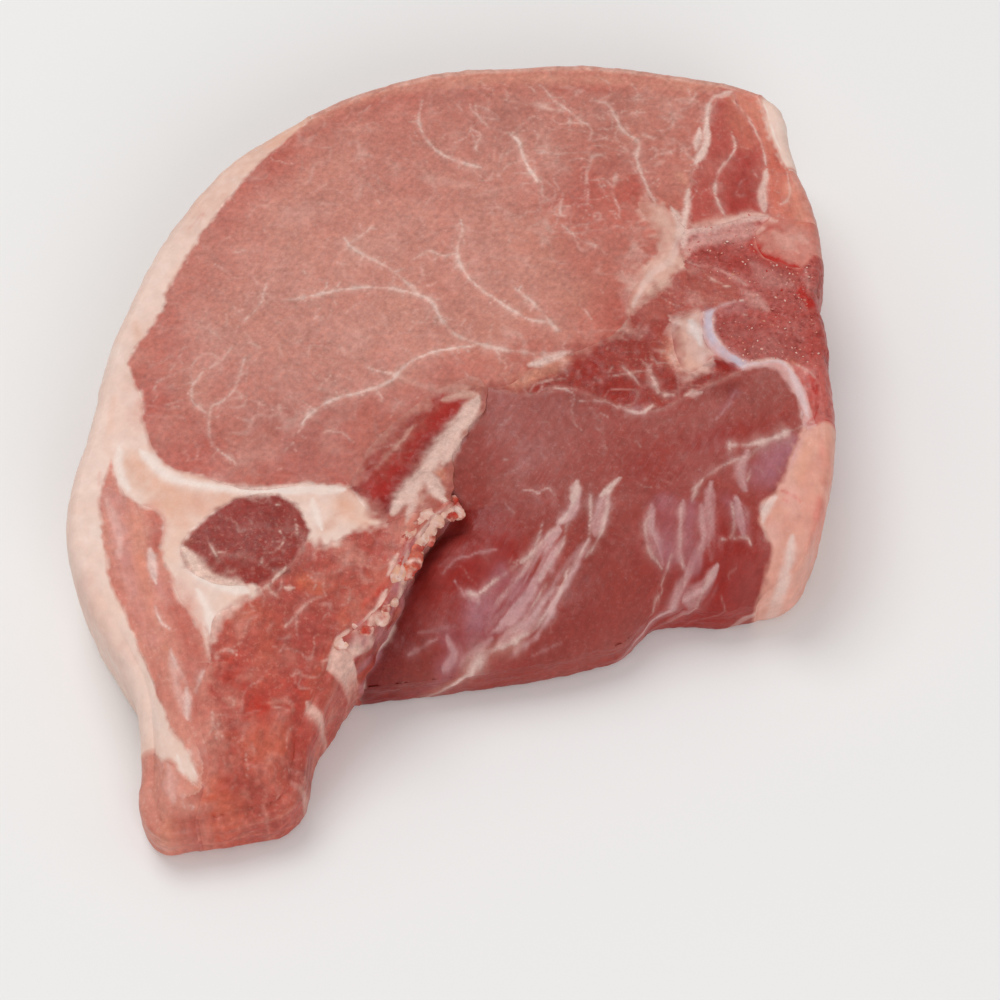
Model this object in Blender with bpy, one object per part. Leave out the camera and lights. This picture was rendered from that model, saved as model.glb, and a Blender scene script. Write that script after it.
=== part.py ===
"""Raw bone-in pork loin chop, lying flat on its lower cut face.

Seen from above, every muscle, fat layer and bone is one piece of a flat jigsaw. Its pieces share
named seams. Each piece is an upright prism on its outline, which runs through the whole chop. One
form function then gives all of them the chop's shape: rounded edges, a thin tail and a tenderloin
whose front bulges out and slopes down to the table.

Metres, +Z up, +Y from the tail towards the loin eye. The origin is under the middle of the chop.
"""

import math

import bmesh
import bpy
import numpy as np

MM = 0.001

# Driving sizes
THICKNESS = 26 * MM  # of the loin between its two cut faces
TAIL_THICKNESS = 13.5 * MM  # at the tip of the tail
TAIL_BEGINS_Y = -29 * MM  # the tail gets thinner from here
TAIL_ENDS_Y = -72 * MM
TAIL_EASE = 1.2  # above 1, the tail starts to thin gently
TENDERLOIN_DIP = 2.2 * MM  # how far its cut face has sunk at the front rim
FRONT_EDGE_SHARE = 0.14  # height left at the very front, as a share of the thickness
STEEPEST_SLOPE = 0.985  # the front's quarter ellipse stops here, short of upright
EDGE_ROUND = 2.6 * MM  # rounding of the outer edge, level with the cut faces
EDGE_REACH = 3.2  # the rounding fades out this many times its own size inside the edge
EDGE_SHARPNESS = 5  # the higher, the more of the wall stays upright between its two rounded edges
RELIEF = 0.35 * MM  # gentle swells of the upper cut face
SWELL_WAVES = (9 * MM, 11 * MM, 5 * MM)  # their wavelengths over 2 pi: along X, along Y, and slanting
SLANTING_SHARE = 0.4  # of the slanting swells, next to the others

# Building sizes
SEAM_GAP = 0.3 * MM  # between neighbouring pieces
SEAM_STEP = 3.4 * MM  # longest straight stretch along an outline
GRID = 6.5 * MM  # pitch of the cuts that let a cut face bend
GRID_SNAP = 0.5 * MM  # a cut this near to a corner goes through the corner
WALL_LEVELS = (0.07, 0.24, 0.76, 0.93)  # cuts round the wall, as shares of its height
STRAIGHT_ON = 0.98  # cosine of the turn under which a corner counts as straight
NORMAL_BLEND = 2.5 * MM  # round which the outward direction turns at a corner

# Seams in plan, in millimetres. The outer ones run clockwise round the chop from the top of the fat.
SEAMS = {
    # round the outside
    "rim_loin": [(-26.5, 60.5), (-16.5, 66), (-5, 69.5), (8.5, 71), (24, 72), (36, 70.5), (49, 68)],
    "rim_back": [(49, 68), (51.5, 67)],
    "rim_back_outer": [(51.5, 67), (56, 65)],
    "rim_back_fat": [(56, 65), (59, 61.5), (60.5, 53), (61.5, 47.5)],
    "rim_back_low": [(61.5, 47.5), (63.5, 41.5), (64.5, 36)],
    "rim_facet": [(64.5, 36), (65, 29)],
    "rim_backbone": [(65, 29), (64.5, 24), (63.5, 20.5), (64.5, 15), (64.5, 6)],
    "rim_chip": [(64.5, 6), (65, -5)],
    "rim_tender_fat": [(65, -5), (64, -12.5), (61.5, -21.5), (57.5, -28.5), (51.5, -30)],
    "rim_front": [
        (51.5, -30), (46, -31.5), (40, -31), (34.5, -32), (29, -37), (20.5, -40), (6.5, -42.5),
        (-15, -45.5),
    ],
    "rim_tail": [
        (-15, -45.5), (-19.5, -53), (-22, -58), (-23.5, -66), (-26, -68.5), (-33, -70.5), (-40, -72),
    ],
    "rim_tip": [(-40, -72), (-47, -72), (-49, -69.5), (-49.5, -60)],
    "rim_fat": [
        (-49.5, -60), (-50.5, -51.5), (-54.5, -44), (-60, -35), (-63, -25), (-63, -17), (-61, -8),
        (-58.5, 9), (-54.5, 23), (-48, 38), (-40, 49.5), (-26.5, 60.5),
    ],
    # round the loin eye
    "loin_fat": [
        (-26.5, 60.5), (-33, 50.5), (-40.5, 39), (-46.5, 26.5), (-52, 12.5), (-55, 7), (-52, 0.5),
        (-50.5, -6.5), (-47.5, -12.5), (-40, -16), (-33.5, -18), (-22, -17), (-16.5, -17.5),
    ],
    "loin_rib": [(-16.5, -17.5), (-13, -10), (-7, -3), (2, 3), (4.5, 3.5), (6, 1.5)],
    "loin_deep": [(6, 1.5), (9.5, 2), (16, 7), (23, 9.5), (28, 12.5), (30.5, 16)],
    "loin_bone_fat": [(30.5, 16), (30.5, 20), (34, 26), (36, 30), (33, 39.5), (37, 38.5), (40.5, 34)],
    "loin_back": [(40.5, 34), (41.5, 42), (43.5, 50), (45.5, 58), (49, 68)],
    # back muscles and their thin fat
    "back_back_outer": [(51.5, 67), (50.5, 63), (54.5, 54.5), (55.5, 49), (54.5, 42), (55.5, 37)],
    "back_outer_fat": [(56, 65), (57, 57), (59, 50.5), (61.5, 47.5)],
    "back_bone": [(40.5, 34), (45, 34.5), (50, 36.5), (55.5, 37)],
    "back_outer_facet": [(55.5, 37), (60, 36), (64.5, 36)],
    # backbone and what fills the hollows beside it
    "facet_bone": [(65, 29), (61, 26.5), (56.5, 27), (53, 30), (53, 33.5), (55.5, 37)],
    "bone_fat_bone": [(40.5, 34), (39.5, 30.5), (40, 27)],
    "bone_fat_wedge": [(40, 27), (38, 24), (33.5, 21.5), (30.5, 16)],
    "wedge_bone": [(40, 27), (45, 24.5), (49.5, 21), (49, 19)],
    "wedge_cartilage": [(49, 19), (46, 18.5), (43, 17)],
    "wedge_joint_fat": [(43, 17), (37.5, 15)],
    "wedge_deep": [(37.5, 15), (34, 14.5), (30.5, 16)],
    "bone_cartilage": [(49, 19), (45, 17), (45, 12.5), (49.5, 7), (56, 7)],
    "bone_chip": [(56, 7), (60, 6), (64.5, 6)],
    "chip_cartilage": [(56, 7), (59, 3), (62, -5.5)],
    "chip_tender_fat": [(62, -5.5), (65, -5)],
    "cartilage_tender_fat": [(59.5, -6), (62, -5.5)],
    "cartilage_joint_fat": [(43, 17), (43, 12), (44.5, 8)],
    "cartilage_deep": [(44.5, 8), (49.5, 5)],
    "joint_fat_deep": [(37.5, 15), (38, 9), (40, 5), (44.5, 8)],
    # round the tenderloin
    "deep_tender": [(6, 1.5), (13.5, 0), (20, 1.5), (25, -0.5), (34.5, -2.5), (41, 1), (49.5, 5)],
    "cartilage_tender": [(49.5, 5), (54.5, 5.5), (57.5, 1), (59, -3), (59.5, -6)],
    "tender_tender_fat": [(59.5, -6), (55.5, -14.5), (51.5, -21), (53.5, -25.5), (51.5, -30)],
    "rib_tender": [(6, 1.5), (5.5, -2), (1, -10), (0, -15.5), (0.5, -20.5)],
    "flank_tender": [(0.5, -20.5), (-5, -28.5), (-8.5, -37), (-15, -45.5)],
    # the tail
    "rib_flank": [(0.5, -20.5), (-2, -22.5), (-6, -23), (-10, -24.5)],
    "rib_fat": [(-10, -24.5), (-13.5, -22), (-16.5, -17.5)],
    "flank_fat": [(-10, -24.5), (-15.5, -26.5), (-19.5, -28.5), (-23, -28)],
    "eye_fat": [
        (-23, -28), (-23.5, -22.5), (-27, -19), (-33.5, -19.5), (-40.5, -24.5), (-43.5, -30),
        (-39, -34.5), (-30.5, -35.5),
    ],
    "eye_flank": [(-30.5, -35.5), (-26, -33), (-23, -28)],
    "flank_fat_lobe": [(-30.5, -35.5), (-33, -38), (-37, -40), (-38, -47.5)],
    "strip_fat_inner": [
        (-38, -47.5), (-39.5, -43), (-43.5, -36.5), (-46.5, -28.5), (-46.5, -23.5), (-53, -19),
        (-56, -12.5),
    ],
    "strip_fat_outer": [
        (-56, -12.5), (-57.5, -18), (-56, -28.5), (-52.5, -41), (-46, -55), (-40, -64), (-39.5, -66.5),
    ],
    "strip_fat_end": [(-39.5, -66.5), (-43, -64), (-49.5, -60)],
    "strip_flank": [(-38, -47.5), (-39.8, -52), (-39.2, -58.5), (-38, -64), (-39.2, -68.5), (-40, -72)],
}

# Where the tenderloin's cut face starts to sink and is lowest, towards -Y, in millimetres, and the
# stretches at its left (along X) and right (along -X) over which the dip sets in.
DIP_BEGINS_Y, DIP_DEEPEST_Y = -6, 16
DIP_EASE = 1.5
DIP_LEFT = (-2, 6)
DIP_RIGHT = (-66, -54)

# The line from which the front of the tenderloin slopes down, in millimetres.
FRONT_RIM = [(0.5, -20.5), (11.5, -18), (28, -16.5), (39.5, -16), (46, -10), (53.5, -8), (65, -5.5)]

# Each piece: its seams in order round it (a minus sign runs one backwards), and its finish.
PIECES = {
    "loin_eye": ("rim_loin -loin_back -loin_bone_fat -loin_deep -loin_rib -loin_fat", "lean"),
    "fat_cap": (
        "loin_fat -rib_fat flank_fat eye_fat flank_fat_lobe strip_fat_inner strip_fat_outer "
        "strip_fat_end rim_fat",
        "fat",
    ),
    "tail_eye": ("eye_flank eye_fat", "dark_lean"),
    "tail_strip": ("strip_fat_inner strip_fat_outer strip_fat_end -rim_tip -strip_flank", "pale_lean"),
    "flank": (
        "rib_flank flank_fat -eye_flank flank_fat_lobe strip_flank -rim_tail -flank_tender",
        "red_lean",
    ),
    "rib_bone": ("loin_rib rib_tender rib_flank rib_fat", "marrow"),
    "back_muscle": ("rim_back back_back_outer -back_bone loin_back", "red_lean"),
    "back_outer": (
        "rim_back_outer back_outer_fat rim_back_low -back_outer_facet -back_back_outer",
        "red_lean",
    ),
    "back_fat": ("rim_back_fat -back_outer_fat", "fat"),
    "facet": ("back_outer_facet rim_facet facet_bone", "bone"),
    "backbone": (
        "back_bone -facet_bone rim_backbone -bone_chip -bone_cartilage -wedge_bone "
        "-bone_fat_bone",
        "bone",
    ),
    "bone_fat": ("loin_bone_fat bone_fat_bone bone_fat_wedge", "fat"),
    "wedge_muscle": ("wedge_bone wedge_cartilage wedge_joint_fat wedge_deep -bone_fat_wedge", "dark_lean"),
    "cartilage": (
        "bone_cartilage chip_cartilage -cartilage_tender_fat -cartilage_tender "
        "-cartilage_deep -cartilage_joint_fat -wedge_cartilage",
        "cartilage",
    ),
    "bone_chip": ("bone_chip rim_chip -chip_tender_fat -chip_cartilage", "bone"),
    "joint_fat": ("cartilage_joint_fat -joint_fat_deep -wedge_joint_fat", "fat"),
    "deep_muscle": ("loin_deep -wedge_deep joint_fat_deep cartilage_deep -deep_tender", "dark_lean"),
    "tenderloin": (
        "deep_tender cartilage_tender tender_tender_fat rim_front -flank_tender -rib_tender",
        "dark_lean",
    ),
    "tender_fat": ("cartilage_tender_fat chip_tender_fat rim_tender_fat -tender_tender_fat", "pink_fat"),
}

# Pieces whose edge is the free edge of the tail, beside the sloping tenderloin.
TAIL_PIECES = ("fat_cap", "tail_eye", "tail_strip", "flank", "rib_bone")

BODY_RIM = (
    "rim_loin rim_back rim_back_outer rim_back_fat rim_back_low rim_facet rim_backbone rim_chip "
    "rim_tender_fat rim_front rim_tail rim_tip rim_fat"
)
TAIL_RIM = "flank_tender rim_tail rim_tip rim_fat rim_loin"

# Finish: base colour (linear), roughness
FINISHES = {
    "lean": ((0.52, 0.19, 0.16), 0.42),
    "red_lean": ((0.45, 0.11, 0.085), 0.4),
    "pale_lean": ((0.55, 0.2, 0.16), 0.42),
    "dark_lean": ((0.34, 0.075, 0.06), 0.38),
    "fat": ((0.83, 0.66, 0.58), 0.45),
    "pink_fat": ((0.72, 0.4, 0.34), 0.42),
    "bone": ((0.45, 0.14, 0.12), 0.5),
    "marrow": ((0.3, 0.035, 0.03), 0.4),
    "cartilage": ((0.68, 0.62, 0.68), 0.3),
}


def smooth_run(points, step):
    """Points at most one step apart on a smooth curve through the given ones, by chord length."""
    points = np.array(points, float)
    if len(points) == 2:
        count = max(1, math.ceil(np.linalg.norm(points[1] - points[0]) / step))
        return points[0] + (points[1] - points[0]) * (np.arange(count + 1) / count)[:, None]
    chords = np.linalg.norm(np.diff(points, axis=0), axis=1)
    knots = np.concatenate([[0], np.cumsum(chords)])
    slopes = np.gradient(points, knots, axis=0)
    run = [points[0]]
    for i, chord in enumerate(chords):
        count = max(1, math.ceil(chord / step))
        for s in (np.arange(count) + 1) / count:
            run.append(
                points[i] * (2 * s**3 - 3 * s**2 + 1)
                + points[i + 1] * (3 * s**2 - 2 * s**3)
                + slopes[i] * chord * (s**3 - 2 * s**2 + s)
                + slopes[i + 1] * chord * (s**3 - s**2)
            )
    return np.array(run)


def chain(seam_names):
    """The named seams, end to end, in metres: their points, and which stretch of the rim is a free edge."""
    points = []
    free = []
    for name in seam_names.split():
        run = smooth_run(SEAMS[name.lstrip("-")], SEAM_STEP / MM) * MM
        if name.startswith("-"):
            run = run[::-1]
        if points and np.abs(points[-1] - run[0]).max() > 1e-6:
            raise ValueError(f"seam {name} doesn't start where the last one ends")
        points = points[:-1] + list(run)
        free += [name.lstrip("-").startswith("rim_")] * (len(run) - 1)
    return np.array(points), np.array(free)


def outline(seam_names):
    """A closed loop of a piece, half a gap inside each shared seam and on the line at a free edge."""
    points, free = chain(seam_names)
    corners = points[:-1]
    along = np.diff(points, axis=0)
    turning = np.sum(points[:-1, 0] * points[1:, 1] - points[1:, 0] * points[:-1, 1])
    inward = np.stack([along[:, 1], -along[:, 0]], axis=1) * -np.sign(turning)
    inward /= np.linalg.norm(inward, axis=1)[:, None]
    shift = np.where(free, 0.0, SEAM_GAP / 2)
    loop = []
    for i, corner in enumerate(corners):
        before, after = inward[i - 1], inward[i]
        if before @ after > STRAIGHT_ON:
            middle = (before + after) / 2
            loop.append(corner + middle * (shift[i - 1] + shift[i]) / 2 / (middle @ middle))
            continue
        sides = np.array([before, after])
        loop.append(corner + np.linalg.solve(sides, [shift[i - 1], shift[i]]))
    return np.array(loop)


def nearest(points, line):
    """How far each point lies from a run of straight stretches, and that run's inward direction there."""
    starts = line[:-1]
    along = np.diff(line, axis=0)
    length = np.linalg.norm(along, axis=1)
    inward = np.stack([along[:, 1], -along[:, 0]], axis=1) / length[:, None]
    offset = points[:, None] - starts
    share = np.clip((offset * along).sum(2) / length**2, 0, 1)
    distances = np.linalg.norm(offset - share[:, :, None] * along, axis=2)
    least = distances.min(axis=1)
    weight = np.exp(-(((distances - least[:, None]) / NORMAL_BLEND) ** 2)) * length
    direction = (weight[:, :, None] * inward).sum(1)
    return least, direction / np.linalg.norm(direction, axis=1)[:, None]


def rise(values, start, end):
    """0 up to the start, then straight up to 1 at the end, in millimetres."""
    return np.clip((values / MM - start) / (end - start), 0, 1)


def front_height(plan):
    """Height of the upper face as a share of the thickness, and how far down the front each point lies.

    The tenderloin's front bulges down from its rim, at 0, to the table, at 1.
    """
    rim = smooth_run(FRONT_RIM, SEAM_STEP / MM) * MM
    foot = chain("rim_front")[0]
    from_rim, _ = nearest(plan, rim)
    from_foot, _ = nearest(plan, foot)
    below = plan[:, 1] < np.interp(plan[:, 0], rim[:, 0], rim[:, 1])
    slope = np.where(below, from_rim / (from_rim + from_foot), 0)
    bulge = np.sqrt(1 - np.minimum(slope, STEEPEST_SLOPE) ** 2)
    dip = TENDERLOIN_DIP / THICKNESS * rise(-plan[:, 1], DIP_BEGINS_Y, DIP_DEEPEST_Y) ** DIP_EASE
    dip *= rise(plan[:, 0], *DIP_LEFT) * rise(-plan[:, 0], *DIP_RIGHT)
    ledge = FRONT_EDGE_SHARE * slope**4
    return ledge + (1 - ledge) * bulge - dip * (1 - slope), slope


def tail_height(plan):
    """Height of the upper face as a share of the thickness: the tail gets thinner towards its tip."""
    down = np.clip((TAIL_BEGINS_Y - plan[:, 1]) / (TAIL_BEGINS_Y - TAIL_ENDS_Y), 0, 1)
    return 1 - (1 - TAIL_THICKNESS / THICKNESS) * down**TAIL_EASE


def formed(points, tail):
    """The chop's form. Each point holds its place in plan and, as z, its share of the height."""
    plan, share = points[:, :2], points[:, 2]
    height, slope = (tail_height(plan), 0) if tail else front_height(plan)
    along_x, along_y, slanting = SWELL_WAVES
    swell = np.sin(plan[:, 0] / along_x + 1) * np.cos(plan[:, 1] / along_y)
    swell += SLANTING_SHARE * np.sin(plan.sum(1) / slanting)
    height = height + RELIEF / THICKNESS * swell * height**2
    if tail:
        edge, inward = nearest(plan, chain(TAIL_RIM)[0])
    else:
        edge, inward = nearest(plan, chain(BODY_RIM)[0])
    curl = 1 - np.sqrt(1 - np.clip(np.abs(share - 0.5) * 2, 0, 0.999) ** EDGE_SHARPNESS)
    pull = EDGE_ROUND * curl * np.clip(1 - edge / (EDGE_ROUND * EDGE_REACH), 0, 1) ** 2
    pull = pull * np.where(share > 0.5, 1 - slope, 1)
    return np.column_stack([plan + inward * pull[:, None], share * height * THICKNESS])


def prism(name, loop):
    """A flat 2D curve on the outline, given a height of one and made a closed mesh."""
    curve = bpy.data.curves.new(name, "CURVE")
    curve.dimensions = "2D"
    curve.fill_mode = "BOTH"
    curve.extrude = 0.5
    spline = curve.splines.new("POLY")
    spline.points.add(len(loop) - 1)
    flat = np.column_stack([loop, np.zeros(len(loop)), np.ones(len(loop))])
    spline.points.foreach_set("co", flat.ravel())
    spline.use_cyclic_u = True
    guide = bpy.data.objects.new(name, curve)
    bpy.context.scene.collection.objects.link(guide)
    evaluated = guide.evaluated_get(bpy.context.evaluated_depsgraph_get())
    mesh = bpy.data.meshes.new_from_object(evaluated)
    bpy.data.objects.remove(guide)
    bpy.data.curves.remove(curve)
    return mesh


def cut_along(body, place, direction, snap):
    geometry = body.verts[:] + body.edges[:] + body.faces[:]
    bmesh.ops.bisect_plane(body, geom=geometry, plane_co=place, plane_no=direction, dist=snap)


def add_cuts(mesh):
    """Welds the prism, joins each cap into one face, and cuts it so that caps and walls can bend."""
    body = bmesh.new()
    body.from_mesh(mesh)
    bmesh.ops.remove_doubles(body, verts=body.verts, dist=1e-6)
    for side in (1, -1):
        cap = [face for face in body.faces if face.normal.z * side > 0.9]
        bmesh.ops.dissolve_faces(body, faces=cap)
    low = np.min([vert.co for vert in body.verts], axis=0)
    high = np.max([vert.co for vert in body.verts], axis=0)
    for axis, direction in enumerate(((1, 0, 0), (0, 1, 0))):
        for line in range(math.ceil(low[axis] / GRID), math.ceil(high[axis] / GRID)):
            cut_along(body, [line * GRID * d for d in direction], direction, GRID_SNAP)
    for level in WALL_LEVELS:
        cut_along(body, (0, 0, level - 0.5), (0, 0, 1), 1e-5)
    bmesh.ops.triangulate(body, faces=[face for face in body.faces if len(face.verts) > 4])
    bmesh.ops.recalc_face_normals(body, faces=body.faces)
    body.to_mesh(mesh)
    body.free()


def material(name, colour, roughness):
    made = bpy.data.materials.new(name)
    made.use_nodes = True
    shader = made.node_tree.nodes["Principled BSDF"]
    shader.inputs["Base Color"].default_value = (*colour, 1)
    shader.inputs["Roughness"].default_value = roughness
    made.diffuse_color = (*colour, 1)
    return made


def clear_scene():
    for obj in list(bpy.data.objects):
        bpy.data.objects.remove(obj)


def build():
    clear_scene()
    parts = bpy.data.collections.new("pork_chop")
    bpy.context.scene.collection.children.link(parts)
    meshes = {}
    shapes = {}
    for name, (seam_names, _) in PIECES.items():
        mesh = prism(name, outline(seam_names))
        add_cuts(mesh)
        points = np.empty(len(mesh.vertices) * 3, np.float32)
        mesh.vertices.foreach_get("co", points)
        points = points.reshape(-1, 3).astype(float) + (0, 0, 0.5)
        meshes[name] = mesh
        shapes[name] = formed(points, name in TAIL_PIECES)
    everything = np.concatenate(list(shapes.values()))
    middle = (everything.min(axis=0) + everything.max(axis=0)) / 2
    for name, mesh in meshes.items():
        mesh.vertices.foreach_set("co", (shapes[name] - (middle[0], middle[1], 0)).ravel())
        mesh.name = name
        mesh.materials.append(material(name, *FINISHES[PIECES[name][1]]))
        parts.objects.link(bpy.data.objects.new(name, mesh))


build()
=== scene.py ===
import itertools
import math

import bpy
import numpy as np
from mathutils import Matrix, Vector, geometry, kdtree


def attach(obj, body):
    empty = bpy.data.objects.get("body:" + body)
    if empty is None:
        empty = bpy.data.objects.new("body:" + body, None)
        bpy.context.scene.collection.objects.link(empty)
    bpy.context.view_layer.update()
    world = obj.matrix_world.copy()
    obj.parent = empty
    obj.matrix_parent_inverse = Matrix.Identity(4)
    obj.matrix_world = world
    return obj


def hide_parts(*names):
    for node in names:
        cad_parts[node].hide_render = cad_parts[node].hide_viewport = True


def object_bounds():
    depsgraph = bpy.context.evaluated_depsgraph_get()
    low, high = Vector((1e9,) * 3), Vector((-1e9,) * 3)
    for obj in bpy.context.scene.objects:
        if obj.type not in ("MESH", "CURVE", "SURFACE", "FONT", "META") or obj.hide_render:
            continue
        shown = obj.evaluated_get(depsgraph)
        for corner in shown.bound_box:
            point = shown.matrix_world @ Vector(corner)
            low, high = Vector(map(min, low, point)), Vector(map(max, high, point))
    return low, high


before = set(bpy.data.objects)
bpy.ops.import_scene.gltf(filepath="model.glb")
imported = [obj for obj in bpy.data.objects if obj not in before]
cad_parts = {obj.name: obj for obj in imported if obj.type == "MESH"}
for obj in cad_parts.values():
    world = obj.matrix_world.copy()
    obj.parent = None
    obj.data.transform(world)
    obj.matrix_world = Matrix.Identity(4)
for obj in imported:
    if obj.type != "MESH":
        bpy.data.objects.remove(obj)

# Raw bone-in pork loin chop, lying flat on its lower cut face.
#
# Every muscle, fat layer and bone is one piece of a flat jigsaw, with the seams and the form of the
# imported model, but its cut faces are fine enough to hold marbling, silver skin and grain. Marbling,
# stains and the painted shade of the crevice beside the flank are masks on the mesh, made from named
# marks and from noise. Torn scraps and bone grit are grown on the pieces. Lengths are in millimetres in
# plan until a piece is put in its place.

MM = 0.001
SEED = 4

# Driving sizes of the form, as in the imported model
THICKNESS = 26
TAIL_THICKNESS = 13.5
TAIL_BEGINS_Y, TAIL_ENDS_Y = -29, -72
TAIL_EASE = 1.2
TENDERLOIN_DIP = 2.2
FRONT_EDGE_SHARE = 0.14
STEEPEST_SLOPE = 0.985
EDGE_ROUND = 2.6
EDGE_REACH = 3.2
EDGE_SHARPNESS = 5
RELIEF = 0.35
SWELL_WAVES = (9, 11, 5)
SLANTING_SHARE = 0.4
SEAM_STEP = 3.4
NORMAL_BLEND = 2.5
DIP_BEGINS_Y, DIP_DEEPEST_Y = -6, 16
DIP_EASE = 1.5
DIP_LEFT = (-2, 6)
DIP_RIGHT = (-66, -54)

# Fineness of the cut faces
FINE_STEP = 0.32  # between points of an upper face and along an outline
STEEP_STEP = 0.2  # where the front of the tenderloin is steep
STEEP_FROM = 0.72  # how far down the front it gets steep
UNDER_STEP = 0.85  # between points of the lower face
CLEAR_SHARE = 0.45  # of a step that inner points keep from an outline
WALL_RINGS = 40  # up a wall that shows
FAR_OFF = 99  # stands for how far an edge is that a piece does not have
SEAM_WANDER = 0.34  # how far a seam strays sideways from its line
RIM_WANDER = 0.22
WANDER_WAVES = (2.6, 7)
CREVICE_DEPTH = 7.5  # of the tenderloin beside the flank, below its own form
CREVICE_WIDTH = 4  # over which that fades
CREVICE_BEGINS_Y = (16, 24)
LIP_ROUND = 0.5  # how far the flank's lip over the crevice is rounded, for other rims' 1
TIP_DROP = 4.5  # of the tail's rim, where it is worn
TIP_REACH = 9
TIP_WORN_Y = (40, 62)

# Camera: what it looks at, in plan and height, how far off, and how high above the horizon
CAMERA_TARGET = (8.44, -20.12, 26)
CAMERA_DISTANCE = 455
CAMERA_ELEVATION = math.radians(60)
CAMERA_LENS = 100
CAMERA_SENSOR = 36
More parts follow.
